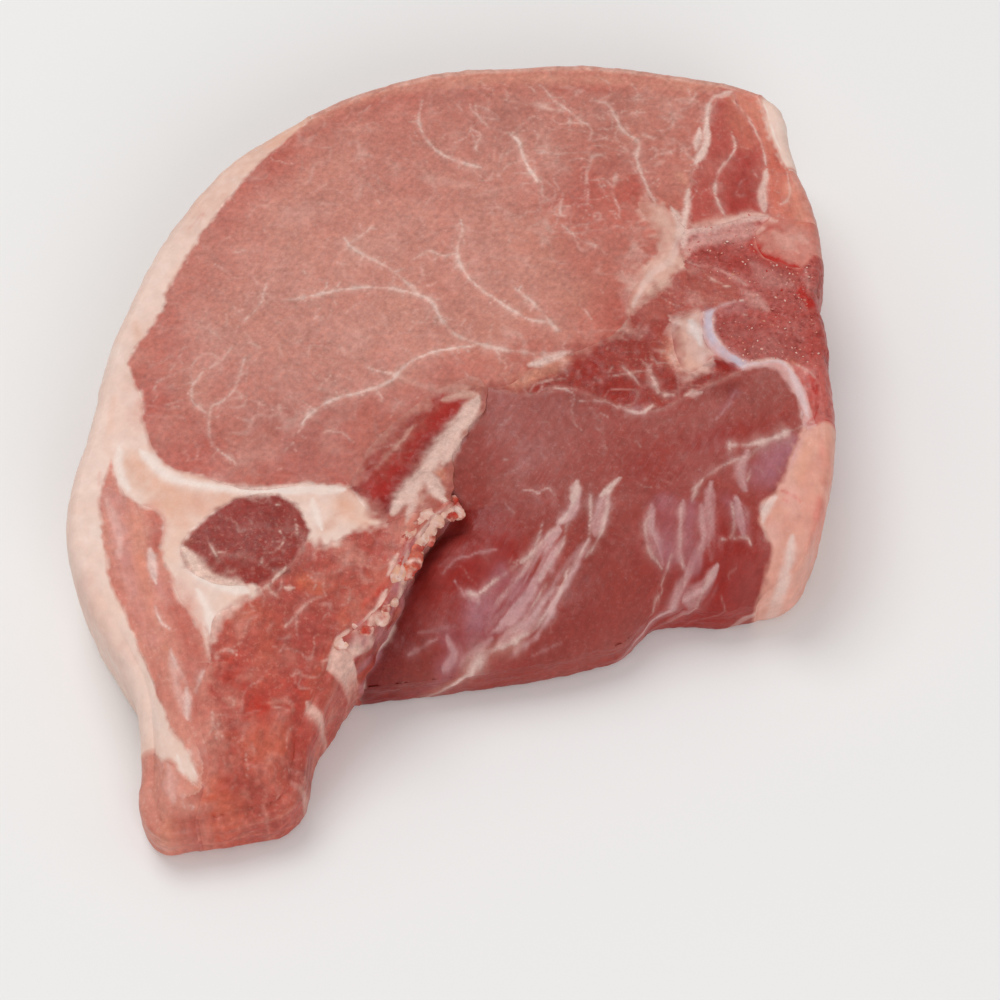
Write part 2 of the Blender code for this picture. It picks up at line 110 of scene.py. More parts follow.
# Seams in plan, in millimetres. The outer ones run clockwise round the chop from the top of the fat.
SEAMS = {
    # round the outside
    "rim_loin": [(-26.5, 60.5), (-16.5, 66), (-5, 69.5), (8.5, 71), (24, 72), (36, 70.5), (49, 68)],
    "rim_back": [(49, 68), (51.5, 67)],
    "rim_back_outer": [(51.5, 67), (56, 65)],
    "rim_back_fat": [(56, 65), (59, 61.5), (60.5, 53), (61.5, 47.5)],
    "rim_back_low": [(61.5, 47.5), (63.5, 41.5), (64.5, 36)],
    "rim_facet": [(64.5, 36), (65, 29)],
    "rim_backbone": [(65, 29), (64.5, 24), (63.5, 20.5), (64.5, 15), (64.5, 6)],
    "rim_chip": [(64.5, 6), (65, -5)],
    "rim_tender_fat": [(65, -5), (64, -12.5), (61.5, -21.5), (57.5, -28.5), (51.5, -30)],
    "rim_front": [
        (51.5, -30), (46, -31.5), (40, -31), (34.5, -32), (29, -37), (20.5, -40), (6.5, -42.5),
        (-15, -45.5),
    ],
    "rim_tail": [
        (-15, -45.5), (-19.5, -53), (-22, -58), (-23.5, -66), (-26, -68.5), (-33, -70.5), (-40, -72),
    ],
    "rim_tip": [(-40, -72), (-47, -72), (-49, -69.5), (-49.5, -60)],
    "rim_fat": [
        (-49.5, -60), (-50.5, -51.5), (-54.5, -44), (-60, -35), (-63, -25), (-63, -17), (-61, -8),
        (-58.5, 9), (-54.5, 23), (-48, 38), (-40, 49.5), (-26.5, 60.5),
    ],
    # round the loin eye
    "loin_fat": [
        (-26.5, 60.5), (-33, 50.5), (-40.5, 39), (-46.5, 26.5), (-52, 12.5), (-55, 7), (-52, 0.5),
        (-50.5, -6.5), (-47.5, -12.5), (-40, -16), (-33.5, -18), (-22, -17), (-16.5, -17.5),
    ],
    "loin_rib": [(-16.5, -17.5), (-13, -10), (-7, -3), (2, 3), (4.5, 3.5), (6, 1.5)],
    "loin_deep": [(6, 1.5), (9.5, 2), (16, 7), (23, 9.5), (28, 12.5), (30.5, 16)],
    "loin_bone_fat": [(30.5, 16), (30.5, 20), (34, 26), (36, 30), (33, 39.5), (37, 38.5), (40.5, 34)],
    "loin_back": [(40.5, 34), (41.5, 42), (43.5, 50), (45.5, 58), (49, 68)],
    # back muscles and their thin fat
    "back_back_outer": [(51.5, 67), (50.5, 63), (54.5, 54.5), (55.5, 49), (54.5, 42), (55.5, 37)],
    "back_outer_fat": [(56, 65), (57, 57), (59, 50.5), (61.5, 47.5)],
    "back_bone": [(40.5, 34), (45, 34.5), (50, 36.5), (55.5, 37)],
    "back_outer_facet": [(55.5, 37), (60, 36), (64.5, 36)],
    # backbone and what fills the hollows beside it
    "facet_bone": [(65, 29), (61, 26.5), (56.5, 27), (53, 30), (53, 33.5), (55.5, 37)],
    "bone_fat_bone": [(40.5, 34), (39.5, 30.5), (40, 27)],
    "bone_fat_wedge": [(40, 27), (38, 24), (33.5, 21.5), (30.5, 16)],
    "wedge_bone": [(40, 27), (45, 24.5), (49.5, 21), (49, 19)],
    "wedge_cartilage": [(49, 19), (46, 18.5), (43, 17)],
    "wedge_joint_fat": [(43, 17), (37.5, 15)],
    "wedge_deep": [(37.5, 15), (34, 14.5), (30.5, 16)],
    "bone_cartilage": [(49, 19), (45, 17), (45, 12.5), (49.5, 7), (56, 7)],
    "bone_chip": [(56, 7), (60, 6), (64.5, 6)],
    "chip_cartilage": [(56, 7), (59, 3), (62, -5.5)],
    "chip_tender_fat": [(62, -5.5), (65, -5)],
    "cartilage_tender_fat": [(59.5, -6), (62, -5.5)],
    "cartilage_joint_fat": [(43, 17), (43, 12), (44.5, 8)],
    "cartilage_deep": [(44.5, 8), (49.5, 5)],
    "joint_fat_deep": [(37.5, 15), (38, 9), (40, 5), (44.5, 8)],
    # round the tenderloin
    "deep_tender": [(6, 1.5), (13.5, 0), (20, 1.5), (25, -0.5), (34.5, -2.5), (41, 1), (49.5, 5)],
    "cartilage_tender": [(49.5, 5), (54.5, 5.5), (57.5, 1), (59, -3), (59.5, -6)],
    "tender_tender_fat": [(59.5, -6), (55.5, -14.5), (51.5, -21), (53.5, -25.5), (51.5, -30)],
    "rib_tender": [(6, 1.5), (5.5, -2), (1, -10), (0, -15.5), (0.5, -20.5)],
    "flank_tender": [(0.5, -20.5), (-5, -28.5), (-8.5, -37), (-15, -45.5)],
    # the tail
    "rib_flank": [(0.5, -20.5), (-2, -22.5), (-6, -23), (-10, -24.5)],
    "rib_fat": [(-10, -24.5), (-13.5, -22), (-16.5, -17.5)],
    "flank_fat": [(-10, -24.5), (-15.5, -26.5), (-19.5, -28.5), (-23, -28)],
    "eye_fat": [
        (-23, -28), (-23.5, -22.5), (-27, -19), (-33.5, -19.5), (-40.5, -24.5), (-43.5, -30),
        (-39, -34.5), (-30.5, -35.5),
    ],
    "eye_flank": [(-30.5, -35.5), (-26, -33), (-23, -28)],
    "flank_fat_lobe": [(-30.5, -35.5), (-33, -38), (-37, -40), (-38, -47.5)],
    "strip_fat_inner": [
        (-38, -47.5), (-39.5, -43), (-43.5, -36.5), (-46.5, -28.5), (-46.5, -23.5), (-53, -19),
        (-56, -12.5),
    ],
    "strip_fat_outer": [
        (-56, -12.5), (-57.5, -18), (-56, -28.5), (-52.5, -41), (-46, -55), (-40, -64), (-39.5, -66.5),
    ],
    "strip_fat_end": [(-39.5, -66.5), (-43, -64), (-49.5, -60)],
    "strip_flank": [(-38, -47.5), (-39.8, -52), (-39.2, -58.5), (-38, -64), (-39.2, -68.5), (-40, -72)],
}

# The line from which the front of the tenderloin slopes down.
FRONT_RIM = [(0.5, -20.5), (11.5, -18), (28, -16.5), (39.5, -16), (46, -10), (53.5, -8), (65, -5.5)]

# Each piece: its seams in order round it (a minus sign runs one backwards), its tissue and its slot.
PIECES = {
    "loin_eye": (
        "rim_loin -loin_back -loin_bone_fat -loin_deep -loin_rib -loin_fat", "loin", "lean",
    ),
    "fat_cap": (
        "loin_fat -rib_fat flank_fat eye_fat flank_fat_lobe strip_fat_inner strip_fat_outer "
        "strip_fat_end rim_fat", "white_fat", "fat",
    ),
    "tail_eye": ("eye_flank eye_fat", "eye_meat", "dark_lean"),
    "tail_strip": (
        "strip_fat_inner strip_fat_outer strip_fat_end -rim_tip -strip_flank", "strip_meat", "pale_lean",
    ),
    "flank": (
        "rib_flank flank_fat -eye_flank flank_fat_lobe strip_flank -rim_tail -flank_tender",
        "flank_meat", "red_lean",
    ),
    "rib_bone": ("loin_rib rib_tender rib_flank rib_fat", "marrow", "marrow"),
    "back_muscle": ("rim_back back_back_outer -back_bone loin_back", "back_meat", "red_lean"),
    "back_outer": (
        "rim_back_outer back_outer_fat rim_back_low -back_outer_facet -back_back_outer",
        "outer_meat", "red_lean",
    ),
    "back_fat": ("rim_back_fat -back_outer_fat", "white_fat", "fat"),
    "facet": ("back_outer_facet rim_facet facet_bone", "facet_bone", "bone"),
    "backbone": (
        "back_bone -facet_bone rim_backbone -bone_chip -bone_cartilage -wedge_bone -bone_fat_bone",
        "spongy_bone", "bone",
    ),
    "bone_fat": ("loin_bone_fat bone_fat_bone bone_fat_wedge", "bone_side_fat", "fat"),
    "wedge_muscle": (
        "wedge_bone wedge_cartilage wedge_joint_fat wedge_deep -bone_fat_wedge", "wedge_meat", "dark_lean",
    ),
    "cartilage": (
        "bone_cartilage chip_cartilage -cartilage_tender_fat -cartilage_tender -cartilage_deep "
        "-cartilage_joint_fat -wedge_cartilage", "gristle", "cartilage",
    ),
    "bone_chip": ("bone_chip rim_chip -chip_tender_fat -chip_cartilage", "chip_bone", "bone"),
    "joint_fat": ("cartilage_joint_fat -joint_fat_deep -wedge_joint_fat", "joint_side_fat", "fat"),
    "deep_muscle": (
        "loin_deep -wedge_deep joint_fat_deep cartilage_deep -deep_tender", "deep_meat", "dark_lean",
    ),
    "tenderloin": (
        "deep_tender cartilage_tender tender_tender_fat rim_front -flank_tender -rib_tender",
        "tender_meat", "dark_lean",
    ),
    "tender_fat": (
        "cartilage_tender_fat chip_tender_fat rim_tender_fat -tender_tender_fat", "pink_fat", "pink_fat",
    ),
}
TAIL_PIECES = ("fat_cap", "tail_eye", "tail_strip", "flank", "rib_bone")
FATTY = ("white_fat", "bone_side_fat", "joint_side_fat", "pink_fat")
BONY = ("marrow", "facet_bone", "spongy_bone", "gristle", "chip_bone")
BODY_RIM = (
    "rim_loin rim_back rim_back_outer rim_back_fat rim_back_low rim_facet rim_backbone rim_chip "
    "rim_tender_fat rim_front rim_tail rim_tip rim_fat"
)
TAIL_RIM = "rim_tail rim_tip rim_fat rim_loin"
# Seams whose wall shows above a lower neighbour.
STEPPED_SEAMS = ("flank_tender", "rib_tender")

# Marks on the cut face, named by the tissue that they colour or the way that they move the surface:
# (kind, strength, half width at its start, half width at its end, points along it in plan).
LOIN_VEINS = [
    ("fat", 0.8, 0.35, 0.5, [(-18.5, 32), (-17, 30), (-10, 25.5), (-5.5, 20.5)]),
    ("fat", 0.5, 0.4, 0.25, [(-18, 30), (-13.5, 35)]),
    ("fat", 0.75, 0.25, 0.6, [
        (-28.5, 19.5), (-10, 21.5), (-4, 19.5), (-0.5, 14), (1.5, 12), (4.5, 10.5), (15, 8.5), (20.5, 9),
    ]),
    ("fat", 0.5, 0.25, 0.4, [(-6.5, 28), (-3.5, 30), (-1, 28.5), (1, 29)]),
    ("fat", 0.85, 0.3, 0.4, [
        (1.5, 36.5), (2, 34.5), (1, 30), (1.5, 27), (3, 24.5), (9, 18.5), (13.5, 15.5), (17.5, 14),
        (18, 13),
    ]),
    ("fat", 0.7, 0.3, 0.35, [(10.5, 22.5), (17, 15), (18, 13)]),
    ("fat", 0.85, 0.45, 0.35, [
        (-24.5, -5.5), (-23.5, -3.5), (-21, -1.5), (-9, 4), (-7.5, 6), (-1.5, 9), (4.5, 10),
    ]),
    ("fat", 0.6, 0.2, 0.3, [(-14, 6), (-9, 4)]),
    ("pale", 0.5, 0.6, 1, [(-9, 4), (0, 1), (3.5, 1.5)]),
    ("fat", 0.45, 0.25, 0.2, [(-24.5, -5.5), (-25, -7), (-24, -8)]),
    ("fat", 0.35, 0.25, 0.2, [(-22.5, -2.5), (-24.5, -1)]),
    ("fat", 0.45, 0.25, 0.3, [(-21, -7), (-19, -6.5)]),
    ("fat", 0.4, 0.2, 0.2, [(-26, -9), (-27.5, -11)]),
    ("fat", 0.6, 0.3, 0.2, [(-31.5, 22.5), (-32, 20), (-36, 13.5)]),
    ("fat", 0.6, 0.2, 0.3, [(-37, 10.5), (-38, 8), (-42.5, 3.5), (-43, 2), (-43, -1), (-40.5, -3.5)]),
    ("fat", 0.6, 0.25, 0.3, [
        (-34.5, 8), (-37.5, -0.5), (-39.5, -2), (-40, -4), (-39.5, -8.5), (-35, -13.5),
    ]),
    ("fat", 0.35, 0.2, 0.2, [(-43.5, 5.5), (-47, 4), (-49, 2.5), (-49.5, 1)]),
    ("fat", 0.3, 0.2, 0.2, [(-45, 9.5), (-47, 5)]),
    ("fat", 0.4, 0.25, 0.2, [(-47.5, -2), (-44.5, -1)]),
    ("fat", 0.35, 0.15, 0.3, [(-41, 27), (-37, 24)]),
    ("fat", 0.45, 0.25, 0.2, [(-18.5, 10.5), (-17.5, 8.5)]),
    ("fat", 0.4, 0.2, 0.2, [(-22.5, 18), (-23, 16)]),
    ("fat", 0.3, 0.2, 0.2, [(-7, 13), (-6, 14.5), (-3.5, 14.5)]),
    ("fat", 0.3, 0.2, 0.15, [(-5, 26.5), (-4.5, 23.5)]),
    ("fat", 0.3, 0.2, 0.2, [(-13, 40.5), (-12, 39)]),
    ("pale", 0.45, 0.8, 0.5, [(-11.5, 32.5), (-9.5, 33.5)]),
    ("fat", 0.5, 0.25, 0.25, [(-30, 15), (-29.5, 15)]),
    ("fat", 0.4, 0.3, 0.25, [(-25.5, 25), (-25, 24.5)]),
    ("fat", 0.5, 0.3, 0.25, [(-30, 1.5), (-29.5, 1.5)]),
    ("fat", 0.4, 0.3, 0.25, [(-26, 10.5), (-25.5, 11)]),
]
LOIN_UPPER_VEINS = [
    ("fat", 0.7, 0.25, 0.4, [(-5.5, 62.5), (-6, 58.5), (-2, 50.5), (5, 47.5)]),
    ("fat", 1, 0.3, 0.6, [(9.5, 55), (11.5, 53.5), (13, 48), (15, 44.5)]),
    ("fat", 0.6, 0.3, 0.35, [(15.5, 66), (17.5, 63), (24, 57)]),
    ("fat", 0.7, 0.3, 0.4, [
        (24.5, 62.5), (27, 62), (30, 56), (33, 52.5), (32.5, 50), (33, 46.5), (35.5, 39.5),
    ]),
    ("fat", 0.45, 0.25, 0.35, [(29.5, 52.5), (32.5, 50)]),
    ("fat", 0.3, 0.2, 0.2, [(29.5, 58), (31, 59.5), (34.5, 60)]),
    ("fat", 0.35, 0.2, 0.2, [(33.5, 55), (36, 53.5)]),
    ("fat", 0.7, 0.25, 0.35, [(19.5, 42), (19, 37.5)]),
    ("fat", 0.5, 0.3, 0.3, [(18, 37.5), (20, 37)]),
    ("fat", 0.45, 0.4, 0.2, [(19.5, 35), (23, 31.5), (25.5, 30.5)]),
    ("fat", 0.45, 0.2, 0.3, [(22, 18.5), (24, 15.5)]),
    ("fat", 0.3, 0.2, 0.2, [(13.5, 51), (17.5, 51.5)]),
    ("fat", 0.25, 0.2, 0.2, [(26.5, 44.5), (30, 44.5)]),
    ("fat", 0.3, 0.3, 0.2, [(31.5, 62.5), (36, 63)]),
    ("pale", 0.5, 1, 0.8, [(19.5, 65.5), (22, 65.5)]),
    ("pale", 0.45, 1.4, 1, [(-5.5, 45), (3.5, 43.5)]),
    ("pale", 0.4, 0.5, 0.4, [(4, 41.5), (8.5, 43), (12.5, 43), (15, 41.5)]),
    ("pale", 0.4, 0.5, 0.4, [(7, 28.5), (20, 27.5)]),
    ("pale", 0.6, 1.2, 1, [(38.5, 59.5), (41, 58.5)]),
    ("pale", 0.6, 1.2, 1, [(35.5, 48), (37.5, 49)]),
    ("pale", 0.5, 1.2, 1, [(40, 62.5), (44, 62)]),
    ("fat", 0.5, 0.3, 0.2, [(33, 29.5), (33, 28.5)]),
    ("fat", 0.4, 0.3, 0.3, [(24.5, 30.5), (25.5, 30)]),
]
LOIN_TINTS = [
    ("blood", 0.55, 1.2, 0.8, [(-52.5, 9.5), (-51.5, 8.5)]),
    ("blood", 0.7, 0.5, 0.4, [(-40, -9), (-40, -9.5)]),
    ("blood", 0.9, 0.35, 0.3, [(-21.5, 20), (-21, 20)]),
    ("blood", 0.9, 0.35, 0.3, [(24.5, 16), (25, 15.5)]),
    ("blood", 0.7, 0.6, 0.5, [(29, 38), (29.5, 37.5)]),
    ("blood", 0.35, 0.4, 0.4, [(-25, 10.5), (-21, 10.5)]),
    ("blood", 0.5, 0.6, 0.5, [(-37.5, 43), (-36, 44)]),
    ("deep", 0.5, 9, 9, [(-5, -8.5), (-16.5, -12.5), (-33, -10.5)]),
    ("deep", 0.45, 9, 7, [(30, 58), (33, 40.5), (27, 19.5)]),
    ("deep", 0.4, 7, 7, [(25.5, 13), (18.5, 5.5)]),
    ("deep", 0.35, 8, 8, [(-0.5, 59), (15.5, 60), (26, 58)]),
    ("deep", 0.45, 5, 5, [(-45.5, 38), (-35.5, 51.5), (-23.5, 60)]),
    ("deep", 0.3, 5, 5, [(-49.5, 13), (-46.5, -4.5), (-41, -10.5)]),
    ("blood", 0.3, 6, 5, [(-50, -1), (-44.5, -8.5), (-34.5, -14.5)]),
    ("orange", 0.55, 2.2, 2.2, [(-32.5, 54.5), (-22, 63), (-6, 66.5), (26.5, 68), (42.5, 66)]),
    ("blood", 0.4, 1.2, 1.2, [(19, 65), (26.5, 65.5), (44, 64)]),
    ("blood", 0.6, 3, 2, [(-14, -14.5), (-10, -6.5), (-1.5, -0.5)]),
]
LOIN_BACK_SEAM = [
    ("fat", 0.9, 0.5, 0.5, [(51, 66), (47, 63.5), (45, 55.5)]),
    ("fat", 1.1, 0.5, 0.8, [(45.5, 57.5), (44.5, 51.5), (43, 48.5)]),
    ("fat", 0.9, 0.9, 0.9, [(44, 56), (43, 51)]),
    ("fat", 0.7, 1.3, 0.9, [(48, 63.5), (50.5, 66)]),
    ("fat", 0.7, 0.3, 0.3, [(42, 48), (43, 48)]),
    ("fat", 0.9, 0.4, 0.9, [(41.5, 43), (40, 32.5)]),
    ("orange", 0.5, 0.8, 0.8, [(40, 46), (41, 44.5)]),
    ("fat", 0.75, 0.25, 0.3, [(50, 63), (53.5, 56.5), (55, 52), (55.5, 47.5)]),
    ("fat", 0.9, 0.6, 0.9, [(55.5, 47), (54.5, 43), (54.5, 38)]),
    ("fat", 0.8, 0.25, 0.35, [(49.5, 55.5), (50, 51.5), (46.5, 45.5), (46.5, 40), (48, 37)]),
    ("fat", 0.6, 0.4, 0.3, [(61, 47), (58.5, 40), (57.5, 39.5)]),
    ("orange", 1, 2.4, 2.4, [(60.5, 42.5), (62, 38)]),
    ("blood", 0.3, 2, 2, [(57, 55.5), (58, 49)]),
    ("orange", 0.5, 1.5, 1.5, [(55.5, 59), (57, 51.5)]),
    ("fat", 0.9, 0.5, 0.4, [(57, 62.5), (57.5, 58.5), (60, 51.5)]),
    ("orange", 0.6, 0.5, 0.4, [(55.5, 61.5), (57.5, 54)]),
    ("fat", 0.8, 0.3, 0.3, [(51.5, 38.5), (52.5, 38.5)]),
    ("orange", 0.7, 3, 3, [(51.5, 63.5), (55, 61.5)]),
    ("deep", 0.9, 3.2, 3.2, [(50.5, 48), (50.5, 39.5)]),
    ("orange", 0.45, 2.5, 2.5, [(50.5, 58.5), (52, 53.5)]),
    ("blood", 0.35, 3, 3, [(50.5, 55.5), (50.5, 40.5)]),
]
BONES = [
    ("pale", 1, 0.9, 1.2, [(40, 30), (40.5, 32.5), (50, 36.5), (53.5, 37), (56.5, 36)]),
    ("pale", 0.9, 1.6, 1.4, [(40.5, 31), (41, 28.5)]),
    ("pale", 0.85, 2.4, 1.8, [(41.5, 30), (45, 32.5), (54, 34.5)]),
    ("fat", 0.6, 0.9, 1.1, [(40, 30), (40.5, 32.5), (45.5, 34.5), (50, 36.5), (55, 37)]),
    ("violet", 0.25, 0.5, 0.4, [(40, 31.5), (45.5, 34)]),
    ("pale", 0.8, 0.6, 0.6, [(41, 27), (48, 24.5), (50.5, 22.5)]),
    ("blood", 0.25, 3, 2.5, [(44.5, 30), (49.5, 26)]),
    ("deep", 0.4, 2.5, 2, [(45, 29.5), (49.5, 26)]),
    ("pale", 0.35, 2.4, 2, [(52, 27), (55, 23.5), (59, 22.5)]),
    ("blood", 3, 0.5, 0.6, [(52.5, 33.5), (52.5, 31), (54.5, 28.5), (58, 27)]),
    ("blood", 2.2, 0.7, 0.6, [(58, 26.8), (61, 26)]),
    ("pale", 0.5, 1.6, 1.6, [(56, 33.5), (60.5, 29.5)]),
    ("blood", 0.4, 0.4, 0.3, [(62.5, 27), (64.5, 28.5)]),
    ("blood", 0.45, 0.5, 0.5, [(53, 32.5), (55, 34.5), (56.5, 35), (57.5, 34), (58, 35.5)]),
    ("blood", 2, 0.9, 0.9, [(61.5, 21), (63, 19)]),
    ("pale", 0.7, 2.4, 2.2, [(50, 21), (54, 17.5)]),
    ("pale", 0.5, 2, 2, [(59.5, 32.5), (63.5, 32)]),
    ("pale", 0.35, 2.5, 2.5, [(62, 25.5), (63.5, 22.5)]),
    ("blood", 0.4, 3, 3, [(63, 15), (63, 8)]),
    ("deep", 0.5, 4, 4, [(47.5, 13), (56, 10)]),
    ("deep", 0.35, 3, 3, [(51.5, 27), (55.5, 25)]),
    ("fat", 0.8, 0.25, 0.25, [(49.5, 19), (50, 19)]),
    ("fat", 0.6, 0.25, 0.25, [(50, 16.5), (50.5, 16.5)]),
    ("fat", 0.8, 0.3, 0.3, [(44.5, 24), (46.5, 22.5)]),
    ("fat", 0.8, 0.3, 0.3, [(47, 22), (48, 22)]),
    ("fat", 0.4, 0.2, 0.2, [(36, 20), (40, 17.5)]),
    ("violet", 1.1, 0.8, 1.1, [(44, 17), (44, 13.5), (45, 10.5), (49, 6.5)]),
    ("fat", 0.5, 0.4, 0.4, [(44.5, 15.5), (45, 12.5), (46.5, 9.5)]),
    ("sink", 0.3, 0.4, 0.4, [(43, 15.5), (43, 12), (44.5, 9)]),
    ("violet", 0.35, 1.2, 1, [(47, 17.5), (49.5, 18)]),
    ("fat", 0.7, 0.5, 0.8, [(49, 6), (55, 7), (60.5, -4)]),
    ("blood", 0.7, 0.4, 0.4, [(57, 6), (60, 4.5)]),
    ("orange", 1, 0.7, 0.5, [(57.5, 6.5), (59, 6)]),
    ("blood", 0.7, 1, 1, [(61.5, 3), (62.5, 1)]),
    ("violet", 0.8, 0.5, 0.5, [(57.5, 5), (58, 4.5)]),
    ("fat", 0.5, 0.3, 0.3, [(58.5, 6), (63, 3.5)]),
    ("blood", 0.9, 0.4, 0.4, [(63, -2), (62, -4), (60, -5.5), (65, -5)]),
    ("orange", 0.8, 2, 2, [(38.5, 11.5), (38, 8), (39.5, 6.5)]),
    ("fat", 0.9, 2, 1.6, [(41, 15), (42.5, 10)]),
    ("raise", 0.9, 2.6, 2.2, [(40.5, 13), (41, 9)]),
    ("orange", 0.8, 0.5, 0.5, [(42.5, 15.5), (43, 15)]),
    ("orange", 0.6, 1, 1, [(39, 6), (42.5, 6)]),
    ("blood", 1.8, 1.1, 0.8, [(44.5, 7), (48, 5.5)]),
    ("deep", 0.9, 1.6, 1.4, [(32.5, 40), (34, 37.5)]),
    ("fat", 0.8, 0.8, 0.6, [(38.5, 38.5), (39.5, 35), (39, 31), (37.5, 27), (34.5, 24.5), (31, 17.5)]),
]
DEEP_MUSCLE = [
    ("fat", 0.6, 0.6, 0.5, [(29, 6), (32, 2.5)]),
    ("fat", 0.7, 0.6, 0.5, [(34, 4), (35, 1)]),
    ("fat", 0.7, 0.7, 0.6, [(36, 0.5), (37.5, 0.5)]),
    ("fat", 0.7, 0.9, 0.7, [(39.5, 0.5), (42.5, 1)]),
    ("fat", 0.4, 0.4, 0.4, [(27.5, 4), (33.5, 5.5)]),
    ("orange", 1, 1.4, 1.2, [(11, 2.5), (17, 5.5), (19.5, 7.5)]),
    ("fat", 0.8, 0.9, 0.8, [(13.5, 6), (19.5, 8.5)]),
    ("fat", 0.7, 0.2, 0.3, [(14.5, 0.5), (16.5, 1.5), (20, 1.5), (21, 0.5)]),
    ("fat", 0.7, 0.25, 0.4, [(21.5, -0.5), (27, -1), (28.5, -2)]),
    ("fat", 1, 0.5, 0.6, [(28.5, -1.5), (30.5, -2.5), (32.5, -2.5), (34, -1.5)]),
    ("violet", 0.5, 0.5, 0.5, [(29, -2), (33.5, -2)]),
    ("fat", 0.5, 0.2, 0.2, [(21, 0.5), (20.5, -2), (21, -5), (22, -6)]),
    ("blood", 0.7, 3, 3, [(23.5, 5), (27, 1.5), (32, 0.5), (37, 2)]),
    ("deep", 0.6, 2, 2, [(42, 3.5), (47, 2)]),
]
TENDERLOIN_TOP = [
    ("pale", 0.4, 0.25, 0.25, [(48, 1.5), (46, -2.5), (44, -4.5)]),
    ("violet", 0.25, 0.8, 0.8, [(48, 1), (45.5, -2.5)]),
    ("blood", 0.35, 4, 4, [(31.5, -13), (48.5, -8)]),
    ("deep", 0.5, 0.3, 0.3, [(52, 2.5), (50.5, -1.5)]),
    ("blood", 0.4, 2, 2, [(41.5, -8), (53, -5), (58, -3)]),
    ("fat", 0.6, 0.25, 0.25, [(9, -11.5), (9.5, -11.5)]),
    ("fat", 0.5, 0.2, 0.2, [(11.5, -17.5), (13, -17), (15, -17.5)]),
    ("fat", 0.5, 0.2, 0.2, [(14.5, -17.5), (16.5, -16.5), (17.5, -18)]),
    ("fat", 0.5, 0.25, 0.25, [(32.5, -15), (33, -15)]),
    ("fat", 0.5, 0.3, 0.25, [(49, -11), (44.5, -13), (41.5, -15.5), (40, -18.5)]),
    ("fat", 0.9, 0.5, 0.7, [(46.5, -9), (49, -9), (59, -6)]),
    ("fat", 0.8, 0.5, 0.5, [(46.5, -8.5), (46.5, -10)]),
    ("fat", 0.8, 0.4, 0.4, [(59, -2.5), (59, -4)]),
    ("violet", 1, 2, 2.4, [(56.5, -9), (52, -14.5)]),
    ("violet", 0.6, 1.3, 1.6, [(53.5, -9), (51, -13)]),
    ("sheet", 0.5, 1.6, 1.4, [(49.5, -10), (48, -13), (49, -16.5)]),
    ("fat", 0.3, 0.3, 0.3, [(55.5, -8), (51.5, -9.5), (48.5, -12)]),
    ("fat", 0.5, 0.25, 0.25, [(50, -12.5), (49.5, -15)]),
    ("fat", 0.9, 1.2, 1, [(54, -17.5), (52.5, -19), (52, -21)]),
    ("fat", 0.6, 0.3, 0.2, [(52, -21), (52.5, -23.5)]),
    ("fat", 0.5, 0.4, 0.4, [(1, -11.5), (-1.5, -14.5)]),
]
